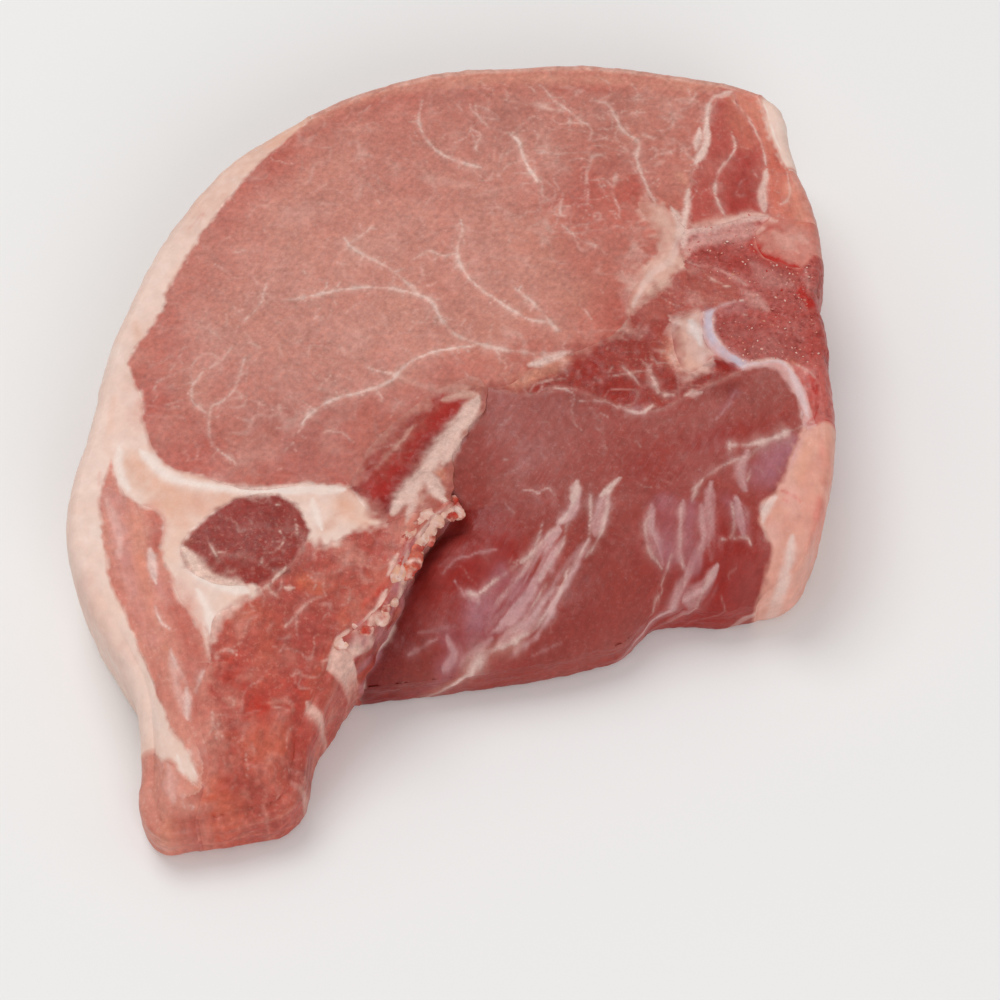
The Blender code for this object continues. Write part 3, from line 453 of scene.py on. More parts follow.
TENDERLOIN_FRONT = [
    ("fat", 1.2, 0.9, 0.6, [(21, -15.5), (20.5, -20)]),
    ("sheet", 0.9, 0.9, 0.9, [(21, -16.5), (20.5, -20), (18, -23)]),
    ("fat", 0.8, 0.3, 0.35, [(20.5, -20), (14.5, -27), (5, -34)]),
    ("fat", 0.7, 0.6, 0.3, [(12.5, -28.5), (10.5, -29.5)]),
    ("sheet", 1, 2.3, 1.9, [(18, -24), (14, -30.5), (9.5, -36), (6.5, -38.5)]),
    ("fat", 0.6, 0.3, 0.25, [(19.5, -22.5), (18.5, -26.5), (15, -32)]),
    ("fat", 0.5, 0.3, 0.25, [(15.5, -23), (14.5, -26.5), (12.5, -30), (7, -36)]),
    ("fat", 1.1, 0.35, 0.8, [(28.5, -14.5), (25, -18)]),
    ("sheet", 1, 1.3, 1.6, [(26, -17), (24, -24.5)]),
    ("fat", 0.7, 0.3, 0.3, [(23.5, -18), (22.5, -26.5), (19, -31)]),
    ("fat", 0.7, 0.3, 0.3, [(26.5, -17), (24.5, -25.5), (22.5, -28.5)]),
    ("sheet", 0.8, 1, 1.4, [(23, -25.5), (17, -34)]),
    ("sheet", 1, 1.7, 1.3, [(18, -33), (13.5, -37.5), (8, -40.5)]),
    ("fat", 0.75, 0.35, 0.4, [(19.5, -31), (17.5, -34.5), (15, -37), (8.5, -40.5)]),
    ("fat", 0.5, 0.3, 0.3, [(16, -32.5), (11.5, -37.5), (9, -39)]),
    ("fat", 0.85, 0.6, 0.75, [(11, -39.5), (4.5, -42), (1.5, -46.5)]),
    ("fat", 0.8, 0.7, 0.6, [(4.5, -42), (1, -47.5), (-6, -52)]),
    ("orange", 0.4, 1, 1, [(11, -39.5), (4.5, -42), (-3, -50.5)]),
    ("sheet", 0.7, 1.2, 1, [(7, -39.5), (2, -42.5)]),
    ("fat", 1, 0.55, 0.4, [(3.5, -34), (5, -34.5), (4.5, -36)]),
    ("pale", 0.8, 1.1, 0.9, [(3, -34), (5, -35)]),
    ("pale", 0.6, 0.25, 0.3, [(1, -32.5), (5.5, -38)]),
    ("pale", 0.5, 0.5, 0.4, [(-1, -31.5), (1, -29.5), (8, -27.5)]),
    ("sheet", 0.8, 1.4, 1.2, [(0, -40), (1, -41.5), (-1, -43)]),
    ("violet", 0.5, 1.6, 1.4, [(0, -40), (1, -41.5), (-1, -43)]),
    ("pale", 0.4, 0.4, 0.4, [(-5, -39.5), (1, -38.5)]),
    ("pale", 0.5, 0.4, 0.4, [(-6.5, -42), (-2, -40)]),
    ("pale", 0.3, 0.2, 0.2, [(13.5, -40.5), (18.5, -39)]),
    ("violet", 0.6, 3, 3, [(5, -37.5), (11.5, -34.5)]),
    ("deep", 0.5, 2.5, 2, [(10.5, -36), (7, -39.5), (3.5, -41)]),
    ("deep", 0.3, 2, 2, [(0.5, -36.5), (-3, -40)]),
    ("violet", 0.5, 1.5, 1.5, [(8.5, -31), (5, -36), (3.5, -39.5)]),
    ("sheet", 0.8, 1.3, 1.2, [(33.5, -19.5), (33, -23.5), (35, -27.5)]),
    ("fat", 0.5, 0.3, 0.3, [(33, -21), (32.5, -23.5), (33, -26.5), (35, -28)]),
    ("violet", 0.6, 2, 2, [(35.5, -19.5), (36, -26)]),
    ("sheet", 0.7, 0.7, 0.7, [(38.5, -19), (38, -24), (38.5, -27.5), (39.5, -28.5)]),
    ("fat", 0.45, 0.25, 0.25, [(38, -19.5), (38.5, -28)]),
    ("violet", 0.8, 1, 1.2, [(40, -19.5), (39.5, -24), (40.5, -27.5)]),
    ("sheet", 0.6, 0.6, 0.6, [(41.5, -19.5), (42, -24), (41.5, -27.5)]),
    ("sheet", 0.7, 1.1, 1.1, [(43.5, -15.5), (43, -19.5), (43.5, -27)]),
    ("fat", 0.6, 0.35, 0.3, [(42, -15), (40, -19)]),
    ("fat", 0.6, 0.25, 0.25, [(41.5, -16), (40, -17)]),
    ("pale", 0.5, 2, 2, [(42.5, -18.5), (42.5, -25)]),
    ("fat", 0.7, 0.35, 0.35, [(46.5, -19), (47, -22), (46.5, -24), (45, -24.5)]),
    ("fat", 0.6, 0.3, 0.3, [(47, -24), (49.5, -23.5), (50, -24.5)]),
    ("sheet", 0.8, 1.4, 1.4, [(47.5, -18), (48.5, -23)]),
    ("violet", 0.5, 1.2, 1.2, [(46, -18.5), (48.5, -22)]),
    ("fat", 0.6, 0.25, 0.25, [(37, -26.5), (35, -29.5)]),
    ("fat", 0.4, 0.2, 0.2, [(35, -29.5), (35.5, -30), (34.5, -31), (33.5, -34.5)]),
    ("sheet", 0.9, 1, 0.7, [(44.5, -27.5), (43.5, -29), (39, -30.5)]),
    ("sheet", 0.8, 1.3, 1.4, [(40, -28.5), (38, -30.5), (33.5, -38.5)]),
    ("fat", 0.5, 0.3, 0.3, [(44, -28), (34.5, -38.5)]),
    ("sheet", 0.6, 1.3, 1.3, [(41.5, -24.5), (39, -29.5)]),
    ("deep", 0.35, 3, 3, [(47, -30.5), (41.5, -34)]),
    ("deep", 0.3, 4, 4, [(25, -22.5), (20, -36.5), (11.5, -44)]),
    ("fat", 0.35, 0.2, 0.2, [(45.5, -30.5), (48, -33.5)]),
]
TENDER_FAT = [
    ("blood", 0.8, 0.35, 0.35, [(55, -16.5), (58.5, -18.5)]),
    ("blood", 0.6, 0.35, 0.35, [(55.5, -18), (56.5, -18.5)]),
    ("blood", 0.45, 1, 1, [(62.5, -19), (60, -29)]),
    ("blood", 0.3, 1, 1, [(63.5, -8.5), (63.5, -15.5)]),
    ("fat", 0.8, 1.2, 1, [(57, -23.5), (56, -28.5), (52, -37)]),
    ("orange", 0.7, 1, 1, [(51.5, -38), (56.5, -36)]),
    ("orange", 0.35, 2, 2, [(60, -10), (58, -14)]),
]
RIB = [
    ("deep", 0.45, 3.5, 4, [(-1.5, 1), (-8, -4.5), (-13, -11.5), (-15.5, -16.5)]),
    ("blood", 0.95, 1.5, 2.6, [(2, -1), (-7, -10.5), (-11, -18)]),
    ("deep", 1.2, 1.1, 2.3, [(1, -3), (-7, -14), (-9.5, -20)]),
    ("deep", 1, 1, 1, [(-10.5, -18), (-9.5, -21.5)]),
    ("blood", 1, 0.5, 0.4, [(1, -1.5), (-4, -5)]),
    ("pale", 0.6, 0.5, 0.4, [(-12.5, -14.5), (-5.5, -5.5)]),
    ("pale", 0.9, 0.9, 0.6, [(5, 0), (1.5, 0), (-1.5, -1)]),
    ("fat", 1.4, 1.5, 1.9, [(5, -0.5), (-9, -22.5)]),
    ("fat", 1.2, 1, 0.9, [(1.5, -8.5), (-1, -13.5)]),
    ("fat", 1.3, 1.2, 1.6, [(-3.5, -16.5), (-0.5, -21)]),
    ("fat", 1.3, 2, 1.8, [(-4, -15), (-1, -19)]),
    ("raise", 0.8, 1.2, 1.6, [(-3.5, -16.5), (-0.5, -21)]),
    ("raise", 0.4, 1.5, 1.5, [(3.5, -3.5), (-8, -20.5)]),
    ("sink", 0.7, 1.8, 2.6, [(0, -3), (-4, -8.5), (-8.5, -16.5)]),
    ("orange", 1, 0.9, 0.8, [(-1.5, -15), (0, -16)]),
    ("blood", 0.8, 0.5, 0.4, [(-0.5, -14.5), (0.5, -16.5)]),
    ("pale", 0.8, 1.4, 1.2, [(2.5, -6.5), (1, -9.5)]),
    ("pale", 0.6, 1.6, 1.6, [(-4.5, -16.5), (-6, -20)]),
]
FAT_CAP = [
    ("orange", 0.85, 3, 3, [(-53, -13.5), (-45.5, -20)]),
    ("orange", 0.6, 2, 2, [(-44.5, -21), (-43.5, -26), (-45, -29.5)]),
    ("fat", 0.9, 0.8, 1.2, [(-55, -10), (-54, -15.5), (-52.5, -18)]),
    ("fat", 0.9, 1.2, 1, [(-51, -11), (-46, -15.5), (-39, -17.5), (-17, -18)]),
    ("fat", 1, 1.4, 1.2, [(-43, -29), (-40, -33), (-32, -36.5)]),
    ("fat", 0.8, 1, 1.2, [(-40.5, -36), (-38.5, -39.5), (-37.5, -44)]),
    ("orange", 0.5, 1.2, 1.2, [(-42.5, -20), (-40, -22.5)]),
    ("blood", 0.35, 1.4, 1.4, [(-41.5, -20.5), (-39.5, -22)]),
    ("fat", 0.9, 1, 0.8, [(-22.5, -20), (-20.5, -26)]),
    ("orange", 0.7, 1.5, 1.5, [(-17.5, -21), (-13.5, -24)]),
    ("deep", 0.6, 1, 1, [(-20.5, -25.5), (-19, -24.5)]),
    ("orange", 0.35, 1, 1, [(-55, 15), (-53.5, 12)]),
    ("blood", 0.35, 0.5, 0.5, [(-46.5, 35), (-44, 38), (-44.5, 35.5)]),
    ("blood", 0.4, 0.5, 0.5, [(-58, -14.5), (-57, -22)]),
    ("blood", 0.3, 0.4, 0.4, [(-54, 9), (-54, 5)]),
    ("orange", 0.3, 1, 1, [(-57, -1), (-57.5, -6.5)]),
    ("blood", 0.2, 2, 2, [(-60.5, -34.5), (-57, -43), (-53.5, -47.5)]),
    ("deep", 0.5, 0.6, 0.5, [(-18.5, -23), (-16, -22)]),
]
TAIL_EYE = [
    ("fat", 0.6, 0.2, 0.25, [(-39.5, -27), (-37, -31.5)]),
    ("fat", 0.6, 0.2, 0.2, [(-27.5, -26), (-26.5, -27.5), (-27, -29)]),
    ("fat", 0.6, 0.35, 0.3, [(-35.5, -33), (-34.5, -33)]),
    ("fat", 0.6, 0.3, 0.3, [(-28, -21), (-27.5, -21)]),
    ("fat", 0.5, 0.25, 0.2, [(-30, -31), (-30, -31.5)]),
    ("fat", 0.5, 0.2, 0.2, [(-25, -23.5), (-24.5, -27)]),
    ("fat", 0.35, 0.2, 0.2, [(-32.5, -24), (-32, -24.5)]),
    ("fat", 0.4, 0.2, 0.2, [(-38, -25), (-37.5, -25.5)]),
]
FLANK = [
    ("fat", 0.8, 0.3, 0.35, [(-26, -32.5), (-30.5, -36.5)]),
    ("fat", 0.85, 0.9, 0.7, [(-26.5, -36), (-25, -36)]),
    ("orange", 1, 1.4, 1.2, [(-23.5, -35), (-21, -36)]),
    ("blood", 0.5, 1.2, 1, [(-24, -36), (-21.5, -35.5)]),
    ("fat", 0.65, 0.3, 0.35, [(-19, -37), (-22, -38), (-26, -42)]),
    ("pale", 0.5, 3, 2.6, [(-36, -39.5), (-33, -40.5), (-33.5, -43.5)]),
    ("orange", 0.35, 2, 2, [(-36, -39.5), (-32.5, -38.5)]),
    ("fat", 0.9, 0.4, 0.35, [(-37, -46), (-35.5, -45.5), (-34, -46.5)]),
    ("fat", 0.6, 0.25, 0.25, [(-28, -45), (-27.5, -45)]),
    ("fat", 0.6, 0.25, 0.25, [(-28.5, -52), (-28.5, -52.5)]),
    ("fat", 0.5, 0.2, 0.2, [(-24.5, -49), (-24, -51)]),
    ("fat", 0.6, 0.25, 0.25, [(-26.5, -58), (-26, -58.5)]),
    ("fat", 0.6, 0.25, 0.25, [(-32.5, -70.5), (-32, -70.5)]),
    ("fat", 0.4, 0.25, 0.25, [(-32, -64.5), (-31.5, -65)]),
    ("pale", 0.5, 0.3, 0.3, [(-29.5, -66), (-28.5, -67), (-28.5, -70)]),
    ("blood", 0.9, 4, 4, [(-29.5, -55.5), (-26, -57)]),
    ("blood", 0.6, 3, 3, [(-23, -52), (-22, -53.5)]),
    ("blood", 0.5, 3, 2.5, [(-36, -48.5), (-34, -50)]),
    ("orange", 0.5, 3, 3, [(-29.5, -60), (-26.5, -59.5)]),
    ("pale", 0.5, 0.5, 0.4, [(-30, -54), (-24.5, -54), (-23.5, -55)]),
    ("fat", 0.6, 0.8, 0.6, [(-41.5, -51.5), (-41.5, -56.5)]),
    ("fat", 0.6, 0.5, 0.5, [(-39, -49), (-40, -52)]),
    ("fat", 0.75, 0.35, 0.3, [(-37.5, -55.5), (-37, -58), (-35.5, -59)]),
    ("orange", 0.7, 3, 3, [(-38, -67), (-35.5, -71.5)]),
    ("blood", 0.7, 2.5, 2, [(-37, -67.5), (-38.5, -73)]),
    ("deep", 0.7, 1, 1, [(-40.5, -77.5), (-36.5, -73.5)]),
    ("fat", 0.8, 0.8, 0.8, [(-39.5, -78.5), (-39, -78)]),
    ("deep", 0.5, 3, 3, [(-35, -64), (-31.5, -67)]),
    ("deep", 0.4, 3, 3, [(-27, -44), (-22, -42.5)]),
    ("pale", 0.45, 4, 4, [(-17.5, -28.5), (-14, -31)]),
    ("pale", 0.3, 2, 2, [(-34, -72.5), (-29, -72.5)]),
    ("blood", 0.6, 2, 2, [(-23, -73), (-27.5, -75.5)]),
    ("pale", 0.5, 1.2, 1.2, [(-35.5, -53.5), (-33, -54)]),
]
FLANK_FRINGE = [
    ("fat", 0.95, 0.9, 0.8, [(-5, -19.5), (-6.5, -24.5)]),
    ("fat", 1, 0.9, 0.8, [(-7.5, -30.5), (-9, -34)]),
    ("pale", 0.8, 1.6, 1.4, [(-4, -19.5), (-7, -28.5)]),
    ("violet", 0.8, 0.8, 0.7, [(-5.5, -29), (-7, -33)]),
    ("violet", 0.8, 0.8, 0.7, [(-11.5, -41.5), (-13, -43)]),
    ("fat", 0.95, 0.9, 0.9, [(-9, -36.5), (-10, -39.5), (-12, -41.5)]),
    ("blood", 0.9, 0.8, 0.7, [(-9.5, -36), (-13, -38.5)]),
    ("blood", 0.6, 0.5, 0.5, [(-7, -26), (-6.5, -28)]),
    ("fat", 0.8, 0.9, 0.8, [(-14, -43.5), (-15.5, -46.5)]),
    ("orange", 0.6, 1, 1, [(-16.5, -40.5), (-15.5, -42.5)]),
    ("fat", 0.9, 1, 0.9, [(-14, -44), (-17, -49)]),
    ("fat", 0.8, 0.8, 0.8, [(-21, -53.5), (-20, -54.5), (-19.5, -57.5)]),
    ("fat", 0.85, 0.8, 0.8, [(-20.5, -61), (-23, -67)]),
    ("fat", 0.7, 0.9, 0.9, [(-23, -69.5), (-24.5, -72.5), (-24.5, -74.5)]),
    ("orange", 0.5, 1.2, 1.2, [(-22.5, -72), (-24, -76)]),
    ("orange", 0.6, 0.8, 0.8, [(-19, -55.5), (-17.5, -54.5)]),
]
STRIP = [
    ("pale", 0.6, 0.9, 0.7, [(-56, -20), (-53.5, -26), (-53, -31)]),
    ("violet", 0.45, 1.5, 1.5, [(-54.5, -20), (-52, -31), (-48, -44)]),
    ("orange", 0.6, 1.6, 1.6, [(-51.5, -24), (-48.5, -41)]),
    ("blood", 0.6, 1.4, 1.2, [(-48, -21), (-47, -26), (-47.5, -28.5)]),
    ("fat", 0.8, 0.8, 0.7, [(-48.5, -29), (-47, -35)]),
    ("violet", 0.5, 0.8, 0.8, [(-47, -33.5), (-46.5, -36)]),
    ("blood", 0.55, 3, 2.6, [(-44, -37), (-41.5, -41.5), (-40.5, -48)]),
    ("fat", 0.75, 0.35, 0.35, [(-47, -38.5), (-46, -41.5), (-44.5, -42.5)]),
    ("orange", 0.8, 0.5, 0.5, [(-47, -41), (-46.5, -42)]),
    ("orange", 0.8, 0.5, 0.5, [(-45.5, -45), (-45, -46)]),
    ("fat", 0.5, 0.3, 0.3, [(-44.5, -46), (-41.5, -51)]),
    ("pale", 0.5, 1, 1, [(-44.5, -45.5), (-43, -52), (-41, -56.5)]),
    ("pale", 0.5, 2, 2, [(-45, -62.5), (-44, -68.5)]),
    ("orange", 1, 3, 3, [(-44.5, -74.5), (-42.5, -78.5)]),
    ("blood", 0.6, 2, 2, [(-43, -72.5), (-40.5, -75.5)]),
    ("fat", 0.8, 0.5, 0.4, [(-43, -61.5), (-42, -64.5)]),
    ("fat", 0.7, 0.35, 0.3, [(-40.5, -63), (-39.5, -66)]),
]
MARKS = (
    LOIN_VEINS, LOIN_UPPER_VEINS, LOIN_TINTS, LOIN_BACK_SEAM, BONES, DEEP_MUSCLE, TENDERLOIN_TOP,
    TENDERLOIN_FRONT, TENDER_FAT, RIB, FAT_CAP, TAIL_EYE, FLANK, FLANK_FRINGE, STRIP,
)


def smooth_run(points, step):
    """Points at most one step apart on a smooth curve through the given ones, by chord length."""
    points = np.array(points, float)
    if len(points) == 2:
        count = max(1, math.ceil(np.linalg.norm(points[1] - points[0]) / step))
        return points[0] + (points[1] - points[0]) * (np.arange(count + 1) / count)[:, None]
    chords = np.linalg.norm(np.diff(points, axis=0), axis=1)
    knots = np.concatenate([[0], np.cumsum(chords)])
    slopes = np.gradient(points, knots, axis=0)
    run = [points[0]]
    for i, chord in enumerate(chords):
        count = max(1, math.ceil(chord / step))
        for s in (np.arange(count) + 1) / count:
            run.append(
                points[i] * (2 * s**3 - 3 * s**2 + 1)
                + points[i + 1] * (3 * s**2 - 2 * s**3)
                + slopes[i] * chord * (s**3 - 2 * s**2 + s)
                + slopes[i + 1] * chord * (s**3 - s**2)
            )
    return np.array(run)


def chain(seam_names, step=SEAM_STEP):
    """The named seams end to end."""
    points = []
    for name in seam_names.split():
        run = smooth_run(SEAMS[name.lstrip("-")], step)
        points = points[:-1] + list(run[::-1] if name.startswith("-") else run)
    return np.array(points)


CHANCE = np.random.default_rng(SEED).uniform(-1, 1, 4096)


def noise(points, wave, seed):
    """Smooth random values from -1 to 1 that change over about one wave."""
    cell = points / wave
    whole = np.floor(cell).astype(np.int64)
    part = cell - whole
    part = part * part * (3 - 2 * part)
    total = np.zeros(len(points))
    for corner in itertools.product((0, 1), repeat=points.shape[1]):
        at = whole + corner
        share = np.prod(np.where(corner, part, 1 - part), axis=1)
        code = seed * 7919
        for axis, prime in zip(range(points.shape[1]), (73856093, 19349663, 83492791)):
            code = code ^ (at[:, axis] * prime)
        code = (code ^ (code >> 13)) * 1274126177
        total += share * CHANCE[(code >> 7) % len(CHANCE)]
    return total


def rough_noise(points, wave, seed, octaves=3):
    """Noise with finer noise on top, still about -1 to 1."""
    return sum(noise(points, wave / 2**k, seed + k) / 2**k for k in range(octaves)) / (2 - 0.5**octaves)


def wander(points, wave, seed):
    """A sideways push in plan, about one long at most."""
    return np.column_stack([rough_noise(points, wave, seed), rough_noise(points, wave, seed + 40)])


def fine_seam(name):
    """One seam with the small irregular wander of a real one, which fades out at its two ends."""
    run = smooth_run(SEAMS[name], FINE_STEP)
    along = np.concatenate([[0], np.cumsum(np.linalg.norm(np.diff(run, axis=0), axis=1))])
    free = np.clip(np.minimum(along, along[-1] - along) / 2, 0, 1)
    far = RIM_WANDER if name.startswith("rim_") or name in STEPPED_SEAMS else SEAM_WANDER
    short, long = WANDER_WAVES
    return run + (far * free)[:, None] * (wander(run, short, 1) + 0.8 * wander(run, long, 5))


FINE_SEAMS = {name: fine_seam(name) for name in SEAMS}


def nearest(points, line):
    """How far each point lies from a run of straight stretches, and that run's inward direction there."""
    starts = line[:-1]
    along = np.diff(line, axis=0)
    length = np.linalg.norm(along, axis=1)
    inward = np.stack([along[:, 1], -along[:, 0]], axis=1) / length[:, None]
    least = []
    direction = []
    for some in np.array_split(points, max(1, len(points) // 6000)):
        offset = some[:, None] - starts
        share = np.clip((offset * along).sum(2) / length**2, 0, 1)
        distances = np.linalg.norm(offset - share[:, :, None] * along, axis=2)
        closest = distances.min(axis=1)
        weight = np.exp(-(((distances - closest[:, None]) / NORMAL_BLEND) ** 2)) * length
        least.append(closest)
        direction.append(weight @ inward)
    direction = np.concatenate(direction)
    return np.concatenate(least), direction / np.linalg.norm(direction, axis=1)[:, None]


def rise(values, start, end):
    """0 up to the start, then straight up to 1 at the end."""
    return np.clip((values - start) / (end - start), 0, 1)


def front_height(plan):
    """Height of the upper face as a share of the thickness, and how far down the front each point lies."""
    rim = smooth_run(FRONT_RIM, SEAM_STEP)
    foot = chain("rim_front")
    from_rim, _ = nearest(plan, rim)
    from_foot, _ = nearest(plan, foot)
    below = plan[:, 1] < np.interp(plan[:, 0], rim[:, 0], rim[:, 1])
    slope = np.where(below, from_rim / (from_rim + from_foot), 0)
    bulge = np.sqrt(1 - (slope * STEEPEST_SLOPE) ** 2)
    dip = TENDERLOIN_DIP / THICKNESS * rise(-plan[:, 1], DIP_BEGINS_Y, DIP_DEEPEST_Y) ** DIP_EASE
    dip *= rise(plan[:, 0], *DIP_LEFT) * rise(-plan[:, 0], *DIP_RIGHT)
    ledge = FRONT_EDGE_SHARE * slope**4
    return ledge + (1 - ledge) * bulge - dip * (1 - slope), slope


def tail_height(plan):
    """Height of the upper face as a share of the thickness: the tail gets thinner towards its tip."""
    down = np.clip((TAIL_BEGINS_Y - plan[:, 1]) / (TAIL_BEGINS_Y - TAIL_ENDS_Y), 0, 1)
    return 1 - (1 - TAIL_THICKNESS / THICKNESS) * down**TAIL_EASE


def pulled(plan, share, line):
    """How far and which way the rounding of a rim's edges moves each point."""
    edge, inward = nearest(plan, line)
    curl = 1 - np.sqrt(1 - np.clip(np.abs(share - 0.5) * 2, 0, 0.999) ** EDGE_SHARPNESS)
    return EDGE_ROUND * curl * np.clip(1 - edge / (EDGE_ROUND * EDGE_REACH), 0, 1) ** 2, inward, edge


def formed(plan, share, tail):
    """The chop's form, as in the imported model, with a worn tail tip and a deeper crevice by the flank."""
    height, slope = (tail_height(plan), np.zeros(len(plan))) if tail else front_height(plan)
    along_x, along_y, slanting = SWELL_WAVES
    swell = np.sin(plan[:, 0] / along_x + 1) * np.cos(plan[:, 1] / along_y)
    swell += SLANTING_SHARE * np.sin(plan.sum(1) / slanting)
    height = height + RELIEF / THICKNESS * swell * height**2
    pull, inward, edge = pulled(plan, share, chain(TAIL_RIM if tail else BODY_RIM))
    pull = pull * np.where(share > 0.5, 1 - slope, 1)
    places = np.column_stack([plan + inward * pull[:, None], share * height * THICKNESS])
    from_flank, _ = nearest(plan, chain("flank_tender"))
    if tail:
        pull, inward, _ = pulled(plan, share, chain("flank_tender"))
        clear = np.clip(nearest(plan, chain("loin_rib rib_tender"))[0] / CREVICE_WIDTH, 0, 1)
        pull = LIP_ROUND * pull * clear * (share > 0.5)
        places[:, :2] += inward * pull[:, None]
        worn = rise(-plan[:, 1], *TIP_WORN_Y) * np.clip(1 - edge / TIP_REACH, 0, 1) ** 2
        places[:, 2] -= share * TIP_DROP * worn
    else:
        past = rise(-plan[:, 1], *CREVICE_BEGINS_Y)
        sunk = CREVICE_DEPTH * past * (1 - slope) * np.exp(-((from_flank / CREVICE_WIDTH) ** 1.3))
        places[:, 2] -= share * sunk
    return places


OFF_POINTS = 0.013  # of a step, so that no row runs through an outline's points


def lattice(loop, step):
    """Points of a triangular lattice inside a closed loop."""
    after = np.roll(loop, -1, axis=0)
    rows = []
    for row in range(math.ceil(loop[:, 1].min() / step), math.ceil(loop[:, 1].max() / step)):
        y = (row + OFF_POINTS) * step
        crossed = (loop[:, 1] > y) != (after[:, 1] > y)
        start, end = loop[crossed], after[crossed]
        across = (end[:, 0] - start[:, 0]) / (end[:, 1] - start[:, 1])
        ends = np.sort(start[:, 0] + (y - start[:, 1]) * across)
        pitch = step * 2 / math.sqrt(3)
        lag = 0.5 * (row % 2)
        for left, right in zip(ends[::2], ends[1::2]):
            x = (np.arange(math.ceil(left / pitch - lag), math.ceil(right / pitch - lag)) + lag) * pitch
            rows.append(np.column_stack([x, np.full(len(x), y)]))
    return np.concatenate(rows) if rows else np.zeros((0, 2))


def planted(points):
    """A tree in which to look up the nearest of some points in plan."""
    tree = kdtree.KDTree(len(points))
    for index, (x, y) in enumerate(points):
        tree.insert((x, y, 0), index)
    tree.balance()
    return tree


def looked_up(tree, points):
    """How far off the nearest of a tree's points is, and which one it is."""
    found = [tree.find((x, y, 0)) for x, y in points]
    return np.array([distance for _, _, distance in found]), np.array([index for _, index, _ in found], int)


def filled(loop, inner, step, tree):
    """The inner points that are clear of the loop, and triangles over both."""
    away, _ = looked_up(tree, inner)
    inner = inner[away > CLEAR_SHARE * step]
    count = len(loop)
    corners = [Vector(point) for point in np.concatenate([loop, inner])]
    sides = [(i, (i + 1) % count) for i in range(count)]
    _, _, faces, sources, _, _ = geometry.delaunay_2d_cdt(corners, sides, [], 1, 1e-7)
    own = np.array([source[0] if source else -1 for source in sources])
    return inner, own[np.array([list(face) for face in faces])]


def outline(seam_names):
    """A piece's closed loop, counterclockwise, with the seam that each point starts."""
    points = []
    seams = []
    for name in seam_names.split():
        run = FINE_SEAMS[name.lstrip("-")]
        run = run[::-1] if name.startswith("-") else run
        points += list(run[:-1])
        seams += [name.lstrip("-")] * (len(run) - 1)
    points = np.array(points)
    after = np.roll(points, -1, axis=0)
    if np.sum(points[:, 0] * after[:, 1] - after[:, 0] * points[:, 1]) < 0:
        points = points[::-1]
        seams = seams[-2::-1] + seams[-1:]
    return points, seams


def shows(seam, name):
    """Whether a piece's wall on this seam can be seen."""
    return seam.startswith("rim_") or (seam in STEPPED_SEAMS and name != "tenderloin")


def ring_shares():
    """Heights of the rings of points up a wall, closest together at its rounded edges."""
    across = np.linspace(-1, 1, WALL_RINGS)
    return 0.5 + 0.5 * np.sign(across) * (1 - (1 - np.abs(across)) ** 2)


class Body:
    """The points and faces of one piece in plan, before it is given its form."""

    def __init__(self, name, seam_names):
        loop, seams = outline(seam_names)
        count = len(loop)
        tree = planted(loop)
        spread = lattice(loop, FINE_STEP)
        if name == "tenderloin":
            finer = lattice(loop, STEEP_STEP)
            spread = np.concatenate([
                spread[front_height(spread)[1] <= STEEP_FROM],
                finer[front_height(finer)[1] > STEEP_FROM],
            ])
        top, top_faces = filled(loop, spread, STEEP_STEP, tree)
        under, under_faces = filled(loop, lattice(loop, UNDER_STEP), FINE_STEP, tree)
        shares = ring_shares()
        shown = [shows(seam, name) for seam in seams]
        rings = [shares if shown[i] or shown[i - 1] else shares[[0, -1]] for i in range(count)]
        sizes = np.array([len(ring) for ring in rings])
        starts = np.concatenate([[0], np.cumsum(sizes)])
        under_start = starts[-1] + len(top)
        self.name = name
        self.plan = np.concatenate([np.repeat(loop, sizes, axis=0), top, under])
        self.share = np.concatenate([np.concatenate(rings), np.ones(len(top)), np.zeros(len(under))])
        joined = np.array([not seam.startswith("rim_") for seam in seams])
        joined |= np.roll(joined, 1)
        self.away, near = looked_up(planted(loop[joined]), self.plan)
        self.seam = np.array(seams)[joined][near]
        self.rim_away = np.full(len(self.plan), float(FAR_OFF))
        if not joined.all():
            self.rim_away = looked_up(planted(loop[~joined]), self.plan)[0]
        top_index = np.concatenate([starts[1:] - 1, starts[-1] + np.arange(len(top))])
        under_index = np.concatenate([starts[:-1], under_start + np.arange(len(under))])
        self.cap = top_index[top_faces]
        self.base = under_index[under_faces][:, ::-1]
        self.shown = []
        self.hidden = []
        for i in range(count):
            here = range(starts[i], starts[i + 1])
            j = (i + 1) % count
            there = range(starts[j], starts[j + 1])
            if shown[i]:
                self.shown += [(a, b, b + 1, a + 1) for a, b in zip(here[:-1], there[:-1])]
            else:
                self.hidden.append((*here[::-1], *there))


def face_normals(places, faces):
    a, b, c = (places[faces[:, k]] for k in range(3))
    return np.cross(b - a, c - a)


def point_normals(places, body):
    """Which way the surface faces at each point, from its upper face and the walls that show."""
    quads = np.array(body.shown, int).reshape(-1, 4)
    triangles = np.concatenate([body.cap, quads[:, :3], quads[:, [0, 2, 3]]])
    faces = face_normals(places, triangles)
    normals = np.zeros((len(places), 3))
    for k in range(3):
        np.add.at(normals, triangles[:, k], faces)
    length = np.linalg.norm(normals, axis=1)
    return normals / np.maximum(length, 1e-9)[:, None]


STEP_BULGE = 0.35  # a wall that shows above the tenderloin stands this far over it
STEP_LUMPS = 0.5
# The deep tint is a darker tone of a tissue; it also carries painted shade in the crevice beside the flank
# and low on the flank's lip.
TINTS = ("deep", "blood", "pale", "orange", "violet", "fat")
MOVES = ("raise", "sink")

